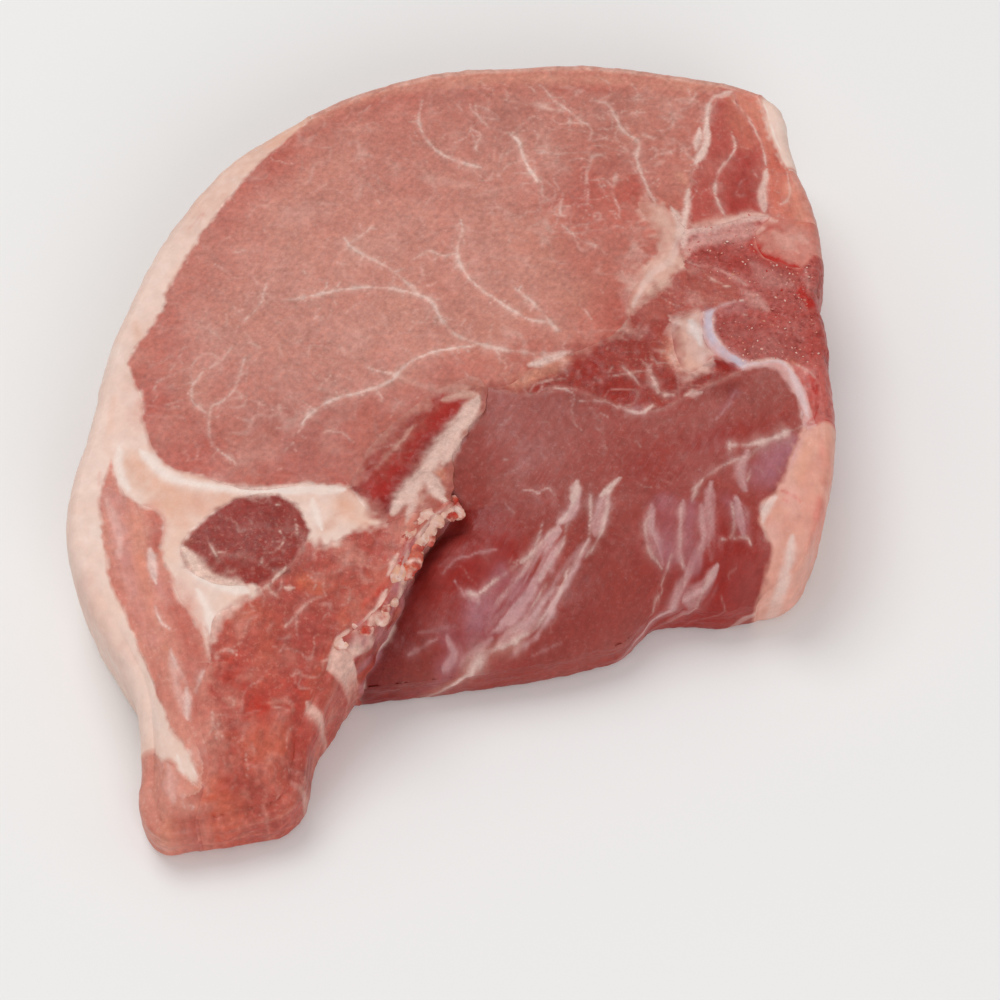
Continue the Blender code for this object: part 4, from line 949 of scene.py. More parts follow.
# How each tissue's surface swells: (wave, height) in millimetres.
LUMPS = {
    "loin": ((2.6, 0.05), (0.9, 0.035)),
    "white_fat": ((5, 0.16), (1.4, 0.05)),
    "eye_meat": ((2.6, 0.08), (0.9, 0.05)),
    "strip_meat": ((4, 0.25), (1.2, 0.08)),
    "flank_meat": ((4, 0.38), (1.2, 0.12)),
    "marrow": ((1.6, 0.14), (0.7, 0.1)),
    "back_meat": ((2.6, 0.1), (0.9, 0.05)),
    "outer_meat": ((2.6, 0.12), (0.9, 0.05)),
    "facet_bone": ((2.2, 0.12), (0.7, 0.06)),
    "spongy_bone": ((1.5, 0.1), (0.6, 0.11)),
    "bone_side_fat": ((2.6, 0.14), (0.9, 0.05)),
    "wedge_meat": ((2.2, 0.16), (0.8, 0.07)),
    "gristle": ((2.6, 0.14), (0.9, 0.03)),
    "chip_bone": ((2.2, 0.2), (0.7, 0.08)),
    "joint_side_fat": ((2.6, 0.2), (0.9, 0.05)),
    "deep_meat": ((3, 0.25), (1, 0.08)),
    "tender_meat": ((3.4, 0.12), (1, 0.05)),
    "pink_fat": ((3.4, 0.2), (1, 0.06)),
}
VEIN_HEIGHT = 0.09

# Marks. Lengths are in millimetres.
THIN_MARK = 0.8  # half width under which a mark is a vein
MARK_REACH = 4  # how far a mark reaches, for its half width's 1
VEIN_TAPER = 2  # over which a vein thins at its ends
HALO_STRENGTH = 0.28
HALO_WIDTH = 2.6  # for the vein's 1
THREAD_LENGTH = 9  # of the threads in a membrane, for their width's 1
SHEET_STRENGTH = 1.3
WALL_STRENGTH = 0.55  # of marks low down a wall
WALL_FADE = (0.4, 0.85)  # heights between which they fade
WALL_WANDER = 3  # how far marks stray as they run down a wall
WALL_LEAN = {"tenderloin": 9}  # how far to the left they have moved at its foot
REDDER_EDGES = {"loin_eye": 0.6, "tail_eye": 0.3}
REDDER_EDGE_WIDTH = 7
UNSKINNED = ("strip_flank", "loin_deep", "wedge_deep")
SEAM_SKIN = 0.22  # strength of the thin skin between two muscles
SEAM_SKIN_WIDTH = 0.5
SETTLED_WIDTH = 0.6  # beside a seam, where the surface is flatter
CLOUD_BEND = 3
COARSE_NET, FINE_NET = 5.2, 2.8  # meshes of the net of marbling
# How far the change of tone strays from a seam, and how wide it is, in millimetres.
BLENDS = {
    "other": (0.5, 0.9),
    "loin_rib": (1.2, 4.2),
    "rib_tender": (0.5, 1.5),
    "rib_flank": (1.1, 3),
    "facet_bone": (0.3, 0.7),
    "back_outer_facet": (0.8, 3),
    "back_bone": (0.6, 0.9),
    "wedge_bone": (0.9, 2.6),
    "bone_fat_bone": (0.8, 1.8),
    "loin_bone_fat": (1.4, 3),
    "bone_fat_wedge": (1.2, 2.6),
    "flank_fat": (0.9, 1.7),
    "flank_fat_lobe": (0.9, 1.7),
    "rib_fat": (0.8, 1.6),
    "loin_deep": (1.2, 3),
    "joint_fat_deep": (1.2, 3),
    "wedge_joint_fat": (1, 2.4),
    "strip_flank": (1.8, 6),
    "deep_tender": (0.7, 1.4),
    "back_outer_fat": (0.7, 1.6),
    "bone_chip": (0.7, 1.5),
    "bone_cartilage": (0.3, 0.7),
    "wedge_deep": (1, 3),
}
# Soft clouds of other tones in each tissue: tint, strength, size, and which clouds.
CLOUDS = {
    "loin": (("pale", 0.5, 6, 1), ("blood", 0.22, 9, 5), ("orange", 0.3, 11, 9)),
    "flank_meat": (("pale", 0.6, 3.6, 13), ("blood", 0.35, 6, 17), ("orange", 0.4, 5, 19)),
    "white_fat": (("orange", 0.3, 6, 21), ("pale", 0.5, 4, 25)),
    "bone_side_fat": (("pale", 0.6, 3, 27), ("deep", 0.3, 4, 29)),
    "joint_side_fat": (("pale", 0.7, 3, 31), ("orange", 0.5, 4, 33)),
    "pink_fat": (("pale", 0.5, 4, 35), ("blood", 0.2, 5, 37), ("orange", 0.4, 6, 39)),
    "spongy_bone": (("pale", 0.25, 3.6, 41), ("blood", 0.3, 5, 43)),
    "facet_bone": (("pale", 0.3, 2.6, 45), ("blood", 0.25, 3, 47)),
    "strip_meat": (("pale", 0.35, 4, 49), ("blood", 0.35, 5, 51)),
    "back_meat": (("pale", 0.25, 4, 53), ("blood", 0.4, 6, 55)),
    "outer_meat": (("pale", 0.15, 4, 57), ("orange", 0.3, 6, 59)),
    "wedge_meat": (("pale", 0.2, 3, 61), ("deep", 0.35, 4, 63)),
    "deep_meat": (("pale", 0.1, 3, 65), ("blood", 0.65, 4, 67)),
    "tender_meat": (("pale", 0.16, 6, 69), ("blood", 0.3, 9, 71)),
    "marrow": (("blood", 0.5, 2.4, 73),),
    "chip_bone": (("pale", 0.4, 2, 77), ("blood", 0.4, 2.4, 79)),
    "gristle": (("fat", 0.4, 2.4, 81), ("orange", 0.2, 3, 85)),
    "eye_meat": (("deep", 0.25, 3, 87), ("blood", 0.3, 5, 89)),
}
# Large areas that differ from the rest of a tissue: tint, strength, centre in plan and radius.
BROAD_TINTS = {
    "loin": (
        ("blood", 0.7, 28, 39, 12), ("deep", 0.6, 26, 35, 13), ("deep", 0.75, -22, -9, 12),
        ("blood", 0.22, -8, 54, 14), ("blood", 0.25, -43, 2, 12),
    ),
    # On the tenderloin, the deep area at (2, -28) and the blood area at (5, -32) are partly its redder flesh
    # and partly painted shade of the crevice beside the flank.
    "tender_meat": (
        ("deep", 0.8, 2, -28, 9), ("blood", 0.95, 5, -32, 12), ("blood", 0.95, 44, -29, 14),
        ("blood", 0.3, 22, -38, 12), ("pale", 0.15, 14, -6, 9),
    ),
    "chip_bone": (("blood", 0.5, 59, 1, 6),),
    "flank_meat": (("deep", 0.3, -18, -37, 7),),
    "white_fat": (("orange", 0.6, -38, -19, 7), ("deep", 0.45, -39, -20, 5)),
}
# Areas where fine marbling makes a net: centre in plan, radius and strength.
MARBLED = {
    "loin": (
        (24, 52, 19, 0.7), (-18, 50, 14, 0.35), (-36, 4, 20, 0.42), (10, 12, 22, 0.25), (40, 26, 9, 0.5),
    ),
    "flank_meat": ((-26, -44, 24, 0.5),),
    "deep_meat": ((20, 2, 24, 0.5),),
    "eye_meat": ((-34, -24, 10, 0.35),),
    "wedge_meat": ((42, 20, 14, 0.35),),
}
# Width over which the painted shade of the crevice on the tenderloin fades out from the flank.
CREVICE_SHADE_WIDTH = 8
PIT_DEPTH = 0.25
PIT_WAVE = 0.95
PITTED = {"spongy_bone": 0.75, "marrow": 0.4, "chip_bone": 0.4}
# Between these heights the painted shade low on the flank's lip also fades out.
LIP_FAT = (0.78, 0.92)  # heights on the flank's wall between which its fat begins
# Tints along a piece's outer edge: tint, strength and width.
RIM_TINTS = {
    "loin_eye": (("orange", 0.9, 2.6), ("fat", 0.45, 0.9)),
    "back_muscle": (("orange", 0.8, 2.2), ("fat", 0.5, 1)),
    "back_outer": (("pale", 0.6, 1.1),),
}
TWIGGED = (LOIN_VEINS, LOIN_UPPER_VEINS, FLANK, TAIL_EYE)
TWIG_EVERY = 5  # half millimetres of vein for each twig
# Count, strength, corners of the area, the way most of them run in radians from +X, and how long they are.
STRAY_VEINS = (
    (260, 0.34, (-50, -14), (44, 68), 2.4, 1),
    (110, 0.42, (4, 34), (46, 68), 2.2, 1.8),
    (60, 0.32, (-42, -10), (0, 50), 0.6, 1.6),
    (80, 0.5, (-46, -72), (-8, -28), 1.2, 1),
    (40, 0.22, (2, -38), (56, 0), 1.9, 1),
    (30, 0.3, (42, 34), (63, 66), 1.9, 1),
)


def cover(points, line, start_width, end_width, kind, mark):
    """How much of a mark's strength reaches each point: all of it on its middle line."""
    along = np.diff(line, axis=0)
    length = np.linalg.norm(along, axis=1)
    done = np.concatenate([[0], np.cumsum(length)])
    offset = points[:, None] - line[:-1]
    part = np.clip((offset * along).sum(2) / length**2, 0, 1)
    distances = np.linalg.norm(offset - part[:, :, None] * along, axis=2)
    least = distances.argmin(axis=1)
    rows = np.arange(len(points))
    away = distances[rows, least]
    at = done[least] + part[rows, least] * length[least]
    from_end = np.minimum(at, done[-1] - at)
    width = start_width + (end_width - start_width) * at / done[-1]
    if max(start_width, end_width) < THIN_MARK:
        return vein(at, from_end, away, width, mark)
    if kind not in ("fat", "pale", "sheet"):
        return stain(points, away, width)
    side = np.sign(offset[rows, least, 0] * along[least, 1] - offset[rows, least, 1] * along[least, 0])
    threads = np.column_stack([at / THREAD_LENGTH, side * away])
    smooth_ends = 0.3 + 0.7 * np.clip(from_end / (1.8 * width), 0, 1)
    ragged = 0.95 + 0.15 * noise(points, 0.9, mark + 7) + 0.25 * noise(points, 2.6, mark + 9)
    inside = np.exp(-((away / (width * smooth_ends * ragged)) ** 3))
    if kind == "sheet":
        streaks = 0.8 + 0.9 * noise(threads, 0.8, mark + 11) + 0.4 * noise(threads, 0.35, mark + 13)
        one_side = np.clip(0.75 - 0.35 * side * away / width, 0.3, 1)
        return SHEET_STRENGTH * streaks * inside * one_side
    threaded = 0.95 + 0.25 * noise(threads, 0.9, mark) + 0.12 * noise(threads, 0.4, mark + 1)
    return threaded * inside


def vein(at, from_end, away, width, mark):
    """A thin mark: it thins at its ends, is uneven on its way and has a faint halo."""
    run = np.column_stack([at, np.zeros(len(at))])
    width = width * (0.45 + 0.55 * np.clip(from_end / VEIN_TAPER, 0, 1))
    width = width * (0.85 + 0.5 * noise(run, 1.1, mark))
    uneven = 0.85 + 0.55 * noise(run, 2.3, mark + 3) + 0.25 * noise(run, 0.8, mark + 5)
    halo = HALO_STRENGTH * np.exp(-((away / (HALO_WIDTH * width)) ** 2))
    return np.clip(uneven, 0.15, 1.1) * np.maximum(np.exp(-((away / width) ** 2)), halo)


def stain(points, away, width):
    """A broad mark of blood or of another tone: it is patchy."""
    blotches = 0.85 + 0.6 * rough_noise(points, 4.5, 31) + 0.4 * rough_noise(points, 1.3, 37)
    return np.clip(blotches, 0.25, 1.5) * np.exp(-((away / width) ** 2.5))


def twigs():
    """Short side branches off the named veins of the loin."""
    chance = np.random.default_rng(SEED + 1)
    found = []
    for marks in TWIGGED:
        for kind, strength, start, end, points in marks:
            line = smooth_run(points, 0.5)
            if kind != "fat" or len(line) < 8:
                continue
            for _ in range(len(line) // TWIG_EVERY):
                root = chance.integers(1, len(line) - 2)
                ahead = line[root + 1] - line[root]
                turn = math.atan2(ahead[1], ahead[0]) + chance.choice([-1, 1]) * chance.uniform(0.4, 1.2)
                run = [line[root]]
                for _ in range(chance.integers(2, 5)):
                    turn += chance.normal(0, 0.35)
                    step = np.array([math.cos(turn), math.sin(turn)]) * chance.uniform(0.5, 1.1)
                    run.append(run[-1] + step)
                width = min(start, end) * chance.uniform(0.5, 0.9)
                found.append((kind, strength * chance.uniform(0.35, 0.8), width, width * 0.6, run))
    return found


def stray_veins():
    """Faint short veins of marbling that the named ones leave out."""
    chance = np.random.default_rng(SEED + 2)
    found = []
    for count, strength, (left, low), (right, high), lean, stretch in STRAY_VEINS:
        for _ in range(count):
            point = np.array([chance.uniform(left, right), chance.uniform(low, high)])
            turn = lean + chance.normal(0, 0.7)
            run = [point]
            for _ in range(chance.integers(2, 6)):
                turn += chance.normal(0, 0.6)
                step = stretch * chance.uniform(0.3, 1.1)
                point = point + np.array([math.cos(turn), math.sin(turn)]) * step
                run.append(point)
            width = chance.uniform(0.12, 0.3)
            found.append(("fat", strength * chance.uniform(0.3, 1), width, width * 0.7, run))
    return found


def both(first, second):
    """Two masks laid over each other."""
    return 1 - (1 - first) * (1 - second)


def marked(body, on_wall):
    """The masks that the marks make on a piece, and each point's place among the marks."""
    plan = body.plan
    down = 1 - body.share
    at = plan + 0.35 * wander(plan, 3.2, 11) + 0.14 * wander(plan, 1.1, 17)
    at = at + WALL_WANDER * down[:, None] * wander(plan, 13, 23)
    at[:, 0] += WALL_LEAN.get(body.name, 0) * down
    masks = {kind: np.zeros(len(plan)) for kind in TINTS + MOVES}
    for mark, (kind, strength, start, end, points) in enumerate(ALL_MARKS):
        line = smooth_run(points, 1)
        reach = MARK_REACH * max(start, end)
        close = np.flatnonzero(
            ((at > line.min(axis=0) - reach) & (at < line.max(axis=0) + reach)).all(axis=1)
        )
        if not len(close):
            continue
        reached = strength * cover(at[close], line, start, end, kind, mark)
        if kind in MOVES:
            masks[kind][close] += reached
        else:
            kind = "pale" if kind == "sheet" else kind
            masks[kind][close] = both(masks[kind][close], np.clip(reached * on_wall[close], 0, 1))
    return masks, at


def tinted(body, tissue):
    """The masks that colour a piece, the tones of the tissues beside it, and how far it is raised."""
    plan = body.plan
    solid = np.column_stack([plan, body.share * THICKNESS])
    on_wall = WALL_STRENGTH + (1 - WALL_STRENGTH) * rise(body.share, *WALL_FADE)
    masks, at = marked(body, on_wall)
    if body.name in REDDER_EDGES:
        near_edge = np.exp(-((np.minimum(body.away, body.rim_away) / REDDER_EDGE_WIDTH) ** 2))
        redder = REDDER_EDGES[body.name] * near_edge * np.clip(0.9 + 0.8 * rough_noise(plan, 7, 91), 0, 1.6)
        masks["blood"] = both(masks["blood"], np.clip(redder, 0, 1))
    beside = np.array([neighbour_tissue(seam, body.name) for seam in body.seam])
    masks["beside"], tones = blended(body, beside)
    patchy = np.clip(0.75 + 0.6 * rough_noise(solid, 1.3, 37), 0.1, 1.3)
    if tissue not in FATTY + BONY:
        skin = np.where(np.isin(beside, FATTY + BONY) | np.isin(body.seam, UNSKINNED), 0, SEAM_SKIN)
        flecked = patchy * np.exp(-((body.away / SEAM_SKIN_WIDTH) ** 2))
        masks["fat"] = np.maximum(masks["fat"], skin * flecked)
    for tint, strength, width in RIM_TINTS.get(body.name, ()):
        rim = strength * patchy * np.exp(-((body.rim_away / width) ** 2)) * on_wall
        masks[tint] = np.maximum(masks[tint], rim)
    for tint, strength, wave, seed in CLOUDS.get(tissue, ()):
        bent = solid + CLOUD_BEND * noise(solid, 9, seed)[:, None]
        masks[tint] = both(masks[tint], strength * rise(rough_noise(bent, wave, seed), 0, 0.8))
    uneven = (0.85 + 0.3 * rough_noise(plan, 5, 93)).clip(0, 1)
    for tint, strength, x, y, radius in BROAD_TINTS.get(tissue, ()):
        broad = strength * np.exp(-((((at - (x, y)) ** 2).sum(axis=1) / radius**2) ** 1.3))
        masks[tint] = both(masks[tint], broad * uneven)
    masks["fat"] = both(masks["fat"], marbled(plan, MARBLED.get(tissue, ())) * on_wall)
    if body.name == "rib_bone":
        for tint in ("deep", "blood"):
            masks[tint] = masks[tint] * (1 - 1.4 * masks["beside"]).clip(0, 1)
    lifted = VEIN_HEIGHT * masks["fat"] * (tissue not in FATTY)
    settled = 1 - 0.8 * np.exp(-((body.away / SETTLED_WIDTH) ** 2))
    for index, (wave, height) in enumerate(LUMPS[tissue]):
        lifted = lifted + settled * height * noise(solid, wave, 50 + index)
    lifted = lifted + masks.pop("raise") - masks.pop("sink")
    if tissue in PITTED:
        pits = rise(noise(solid, PIT_WAVE, 95), 0.3, 0.75) * settled
        lifted = lifted - PIT_DEPTH * pits
        masks["deep"] = np.maximum(masks["deep"], PITTED[tissue] * pits)
    return masks, tones, stepped_down(body, solid, masks, lifted)


def stepped_down(body, solid, masks, lifted):
    """Tints and shapes the step from the flank and the rib down to the tenderloin, with painted shade in the
    crevice beside the flank and low on the flank's lip; gives the new relief.
    """
    from_flank = np.where(body.seam == "flank_tender", body.away, FAR_OFF)
    if body.name == "tenderloin":
        # Painted shade of the crevice: the tenderloin is darker towards the flank's lip.
        masks["deep"] = np.maximum(masks["deep"], np.exp(-((from_flank / CREVICE_SHADE_WIDTH) ** 1.6)))
        return lifted
    wall = np.isin(body.seam, STEPPED_SEAMS) & (body.away == 0) & (body.share < 1)
    lumpy = np.clip(noise(solid, 2.4, 71) + 0.6 * noise(solid, 1.2, 73), -0.5, 1)
    lip = (from_flank == 0) & (body.share < 1)
    high = rise(body.share, *LIP_FAT)
    masks["fat"] = np.where(lip, np.clip(high * (0.1 + 1.7 * lumpy), 0, 1), masks["fat"])
    masks["violet"] = np.where(lip, np.clip(0.5 - 2 * noise(solid, 3.4, 75), 0, 1), masks["violet"])
    # Painted shade: low on the flank's lip, down in the crevice, the deep tint comes in.
    masks["deep"] = np.where(lip, np.clip(1.3 - 1.5 * high, 0, 1), masks["deep"])
    return np.where(wall, STEP_BULGE + STEP_LUMPS * lumpy, lifted)


def blended(body, beside):
    """How far a piece takes on the tone of the tissue across the nearest seam, and that tone."""
    tones = np.zeros((len(body.plan), 4))
    turned = np.zeros(len(body.plan))
    for other in set(beside):
        here = beside == other
        tones[here, :3] = TISSUES[other][0] if other else 0
        turned[here] = 1 if other > PIECES[body.name][1] else -1
    strayed, width = np.array([BLENDS.get(seam, BLENDS["other"]) for seam in body.seam]).T
    shift = strayed * turned * (noise(body.plan, 2.6, 83) + 0.7 * noise(body.plan, 0.9, 87))
    share = np.clip(0.5 + (shift - body.away) / width, 0, 1)
    return np.where((body.seam == "flank_tender") | (beside == ""), 0, share), tones


def neighbour_tissue(seam, name):
    """The tissue on the other side of a seam."""
    for other, (seam_names, tissue, _) in PIECES.items():
        if other != name and seam in seam_names.replace("-", "").split():
            return tissue
    return ""


def marbled(plan, areas):
    """A broken net of fine pale lines, thick in some areas."""
    bent = plan + 1.2 * wander(plan, 6, 61)
    coarse = np.exp(-((noise(bent, COARSE_NET, 63) / 0.07) ** 2))
    fine = 0.8 * np.exp(-((noise(bent, FINE_NET, 65) / 0.09) ** 2))
    broken = rise(rough_noise(plan, 3.2, 67), -0.1, 0.5)
    here = np.zeros(len(plan))
    for x, y, radius, strength in areas:
        here += strength * np.exp(-(((plan - (x, y)) ** 2).sum(axis=1) / radius**2))
    return np.clip(np.maximum(coarse, fine) * broken * here, 0, 1)


# Colours of each tissue, linear: its own flesh, where it is darker, blood, where it is paler, browned or
# orange, bluish, and fat in it. Then its mottling (amount, size), its fibres (amount, the way they run,
# how long they are for their width), its roughness where it is dry and where it is wet, and how many
# pale flecks and dark pores it has.
DARK_FAT = (0.70, 0.42, 0.35)
LIGHT_FAT = (0.76, 0.52, 0.45)
TISSUES = {
    "loin": (
        (0.53, 0.212, 0.162), (0.38, 0.095, 0.072), (0.46, 0.082, 0.058), (0.63, 0.33, 0.27),
        (0.66, 0.28, 0.195), (0.46, 0.22, 0.21), LIGHT_FAT, (0.22, 0.9), (0.12, 0.9, 4), (0.5, 0.34),
        (0.4, 0.12),
    ),
    "white_fat": (
        (0.81, 0.585, 0.495), (0.66, 0.34, 0.25), (0.62, 0.21, 0.16), (0.86, 0.73, 0.66),
        (0.75, 0.40, 0.28), (0.62, 0.38, 0.38), (0.85, 0.69, 0.62), (0.08, 2.2), (0.03, 0.9, 3), (0.55, 0.4),
        (0.2, 0.05),
    ),
    "eye_meat": (
        (0.27, 0.032, 0.023), (0.21, 0.025, 0.018), (0.28, 0.025, 0.018), (0.52, 0.22, 0.17),
        (0.50, 0.17, 0.1), (0.36, 0.11, 0.12), (0.77, 0.53, 0.44), (0.26, 0.9), (0.1, 0.3, 3), (0.48, 0.32),
        (0.45, 0.2),
    ),
    "strip_meat": (
        (0.62, 0.235, 0.175), (0.42, 0.09, 0.065), (0.45, 0.06, 0.042), (0.76, 0.45, 0.39),
        (0.68, 0.25, 0.16), (0.60, 0.25, 0.23), (0.80, 0.58, 0.52), (0.18, 1.3), (0.12, 1.9, 5), (0.5, 0.34),
        (0.35, 0.1),
    ),
    "flank_meat": (
        (0.41, 0.075, 0.055), (0.30, 0.034, 0.026), (0.46, 0.035, 0.02), (0.60, 0.24, 0.18),
        (0.60, 0.13, 0.07), (0.42, 0.14, 0.14), DARK_FAT, (0.28, 1.2), (0.1, 1.3, 3), (0.5, 0.32),
        (0.5, 0.2),
    ),
    "marrow": (
        (0.43, 0.13, 0.095), (0.20, 0.010, 0.008), (0.36, 0.022, 0.016), (0.60, 0.33, 0.26),
        (0.56, 0.2, 0.13), (0.40, 0.16, 0.16), (0.70, 0.46, 0.39), (0.16, 0.9), (0.1, 0.9, 3), (0.48, 0.32),
        (0.12, 0.2),
    ),
    "back_meat": (
        (0.46, 0.092, 0.07), (0.34, 0.042, 0.032), (0.38, 0.035, 0.025), (0.62, 0.3, 0.24),
        (0.60, 0.2, 0.13), (0.44, 0.18, 0.17), LIGHT_FAT, (0.18, 1.1), (0.12, 1.7, 4), (0.5, 0.34),
        (0.3, 0.15),
    ),
    "outer_meat": (
        (0.57, 0.137, 0.092), (0.42, 0.09, 0.065), (0.45, 0.06, 0.045), (0.70, 0.38, 0.31),
        (0.67, 0.25, 0.175), (0.52, 0.24, 0.23), LIGHT_FAT, (0.18, 1.3), (0.14, 1.75, 5), (0.5, 0.34),
        (0.3, 0.1),
    ),
    "facet_bone": (
        (0.58, 0.205, 0.16), (0.45, 0.1, 0.08), (0.46, 0.02, 0.012), (0.72, 0.38, 0.31),
        (0.66, 0.28, 0.18), (0.55, 0.26, 0.25), LIGHT_FAT, (0.16, 1.0), (0.05, 0.2, 3), (0.48, 0.34),
        (0.3, 0.15),
    ),
    "spongy_bone": (
        (0.41, 0.085, 0.069), (0.28, 0.036, 0.028), (0.42, 0.02, 0.012), (0.63, 0.31, 0.27),
        (0.6, 0.18, 0.11), (0.48, 0.22, 0.22), LIGHT_FAT, (0.26, 0.7), (0.04, 0.2, 2), (0.5, 0.36),
        (0.35, 0.85),
    ),
    "bone_side_fat": (
        (0.70, 0.42, 0.335), (0.5, 0.18, 0.13), (0.5, 0.1, 0.08), (0.76, 0.52, 0.45),
        (0.70, 0.36, 0.24), (0.58, 0.34, 0.33), LIGHT_FAT, (0.14, 1.5), (0.05, 1.2, 3), (0.5, 0.36),
        (0.2, 0.1),
    ),
    "wedge_meat": (
        (0.39, 0.083, 0.062), (0.29, 0.038, 0.028), (0.34, 0.03, 0.02), (0.58, 0.26, 0.2),
        (0.56, 0.2, 0.13), (0.42, 0.17, 0.17), DARK_FAT, (0.24, 0.9), (0.08, 0.4, 3), (0.48, 0.32),
        (0.45, 0.25),
    ),
    "gristle": (
        (0.64, 0.33, 0.30), (0.48, 0.18, 0.15), (0.5, 0.08, 0.07), (0.72, 0.46, 0.42),
        (0.66, 0.3, 0.2), (0.56, 0.46, 0.53), (0.72, 0.55, 0.55), (0.12, 1.5), (0.04, 0.8, 3), (0.4, 0.24),
        (0.15, 0.05),
    ),
    "chip_bone": (
        (0.54, 0.145, 0.12), (0.36, 0.05, 0.04), (0.46, 0.025, 0.016), (0.70, 0.37, 0.33),
        (0.64, 0.26, 0.17), (0.5, 0.2, 0.2), LIGHT_FAT, (0.2, 0.9), (0.05, 0.8, 3), (0.46, 0.3),
        (0.3, 0.3),
    ),
    "joint_side_fat": (
        (0.68, 0.42, 0.36), (0.5, 0.2, 0.15), (0.5, 0.06, 0.04), (0.78, 0.60, 0.56),
        (0.71, 0.38, 0.29), (0.58, 0.36, 0.37), (0.80, 0.66, 0.62), (0.12, 1.6), (0.04, 0.8, 3), (0.46, 0.3),
        (0.2, 0.05),
    ),
    "deep_meat": (
        (0.32, 0.045, 0.032), (0.22, 0.02, 0.013), (0.28, 0.014, 0.008), (0.54, 0.24, 0.18),
        (0.62, 0.25, 0.17), (0.42, 0.2, 0.22), LIGHT_FAT, (0.26, 1.0), (0.1, 0.2, 4), (0.46, 0.3),
        (0.45, 0.25),
    ),
    "tender_meat": (
        (0.315, 0.062, 0.047), (0.15, 0.008, 0.006), (0.29, 0.014, 0.010), (0.55, 0.295, 0.285),
        (0.50, 0.18, 0.12), (0.37, 0.12, 0.14), (0.66, 0.44, 0.39), (0.14, 1.1), (0.12, 1.0, 6), (0.46, 0.3),
        (0.2, 0.15),
    ),
    "pink_fat": (
        (0.70, 0.335, 0.26), (0.5, 0.17, 0.13), (0.60, 0.09, 0.07), (0.76, 0.48, 0.42),
        (0.72, 0.33, 0.2), (0.6, 0.3, 0.3), (0.76, 0.56, 0.50), (0.12, 2.0), (0.05, 1.7, 4), (0.5, 0.34),
        (0.25, 0.1),
    ),
}
# Features a metre in the procedural patterns
RAGGED_SCALE = 2600.0
FLECK_SCALE = 1500.0
PORE_SCALE = 1150.0
FIBRE_SCALE = 1500
POOL_SCALE = 190.0
BEAD_SCALE = 1300.0
# Values of the patterns between which each one comes in
FLECK_RANGE = (0.54, 0.72, 0.0, 1.0)
PORE_RANGE = (0.44, 0.3, 0.0, 1.0)
WET_RANGE = (0.38, 0.62, 0.0, 1.0)
# How strongly the mottling and the fibres change the colour
FINE_MOTTLE, BROAD_MOTTLE, FIBRE_MOTTLE = 3.4, 1.7, 2.6
BROADER = 0.16  # scale of the broad mottling, for the fine one's 1
FILM_WEIGHT = 0.1
BUMP_STRENGTH = 0.6
BUMP_DISTANCE = 0.00012
MOISTURE_IOR = 1.36
WET_COAT_ROUGHNESS = 0.16
SURFACE_GLOSS = 0.3


class Nodes:
    """A node tree with short ways to add and join nodes."""

    def __init__(self, tree):
        self.tree = tree

    def add(self, kind, *links, **settings):
        """A node whose first inputs take the given sockets or values, with other settings by name."""
        node = self.tree.nodes.new(kind)
        for name, value in settings.items():
            setattr(node, name, value)
        for index, link in enumerate(links):
            self.feed(node.inputs[index], link)
        return node

    def feed(self, socket, link):
        if link is None:
            return
        if isinstance(link, bpy.types.NodeSocket):
            self.tree.links.new(link, socket)
        else:
            socket.default_value = link

    def math(self, operation, first, second=None, third=None):
        return self.add("ShaderNodeMath", first, second, third, operation=operation).outputs[0]

    def mixed(self, share, first, second):
        node = self.add("ShaderNodeMix", data_type="RGBA")
        self.feed(node.inputs["Factor"], share)
        colours = [socket for socket in node.inputs if socket.type == "RGBA"]
        self.feed(colours[0], first)
        self.feed(colours[1], second)
        return [socket for socket in node.outputs if socket.type == "RGBA"][0]

    def mottle(self, place, scale, detail=3.0):
        """Noise from 0 to 1, with about that many features a metre."""
        node = self.add("ShaderNodeTexNoise")
        self.feed(node.inputs["Vector"], place)
        self.feed(node.inputs["Scale"], scale)
        node.inputs["Detail"].default_value = detail
        node.inputs["Roughness"].default_value = 0.6
        return node.outputs[0]


def new_group(name, inputs, outputs):
    tree = bpy.data.node_groups.new(name, "ShaderNodeTree")
    for label, kind, value in inputs:
        socket = tree.interface.new_socket(label, in_out="INPUT", socket_type=kind)
        socket.default_value = value
    for label, kind in outputs:
        tree.interface.new_socket(label, in_out="OUTPUT", socket_type=kind)
    nodes = Nodes(tree)
    entry = nodes.add("NodeGroupInput")
    leave = nodes.add("NodeGroupOutput")
    return nodes, entry.outputs, leave.inputs


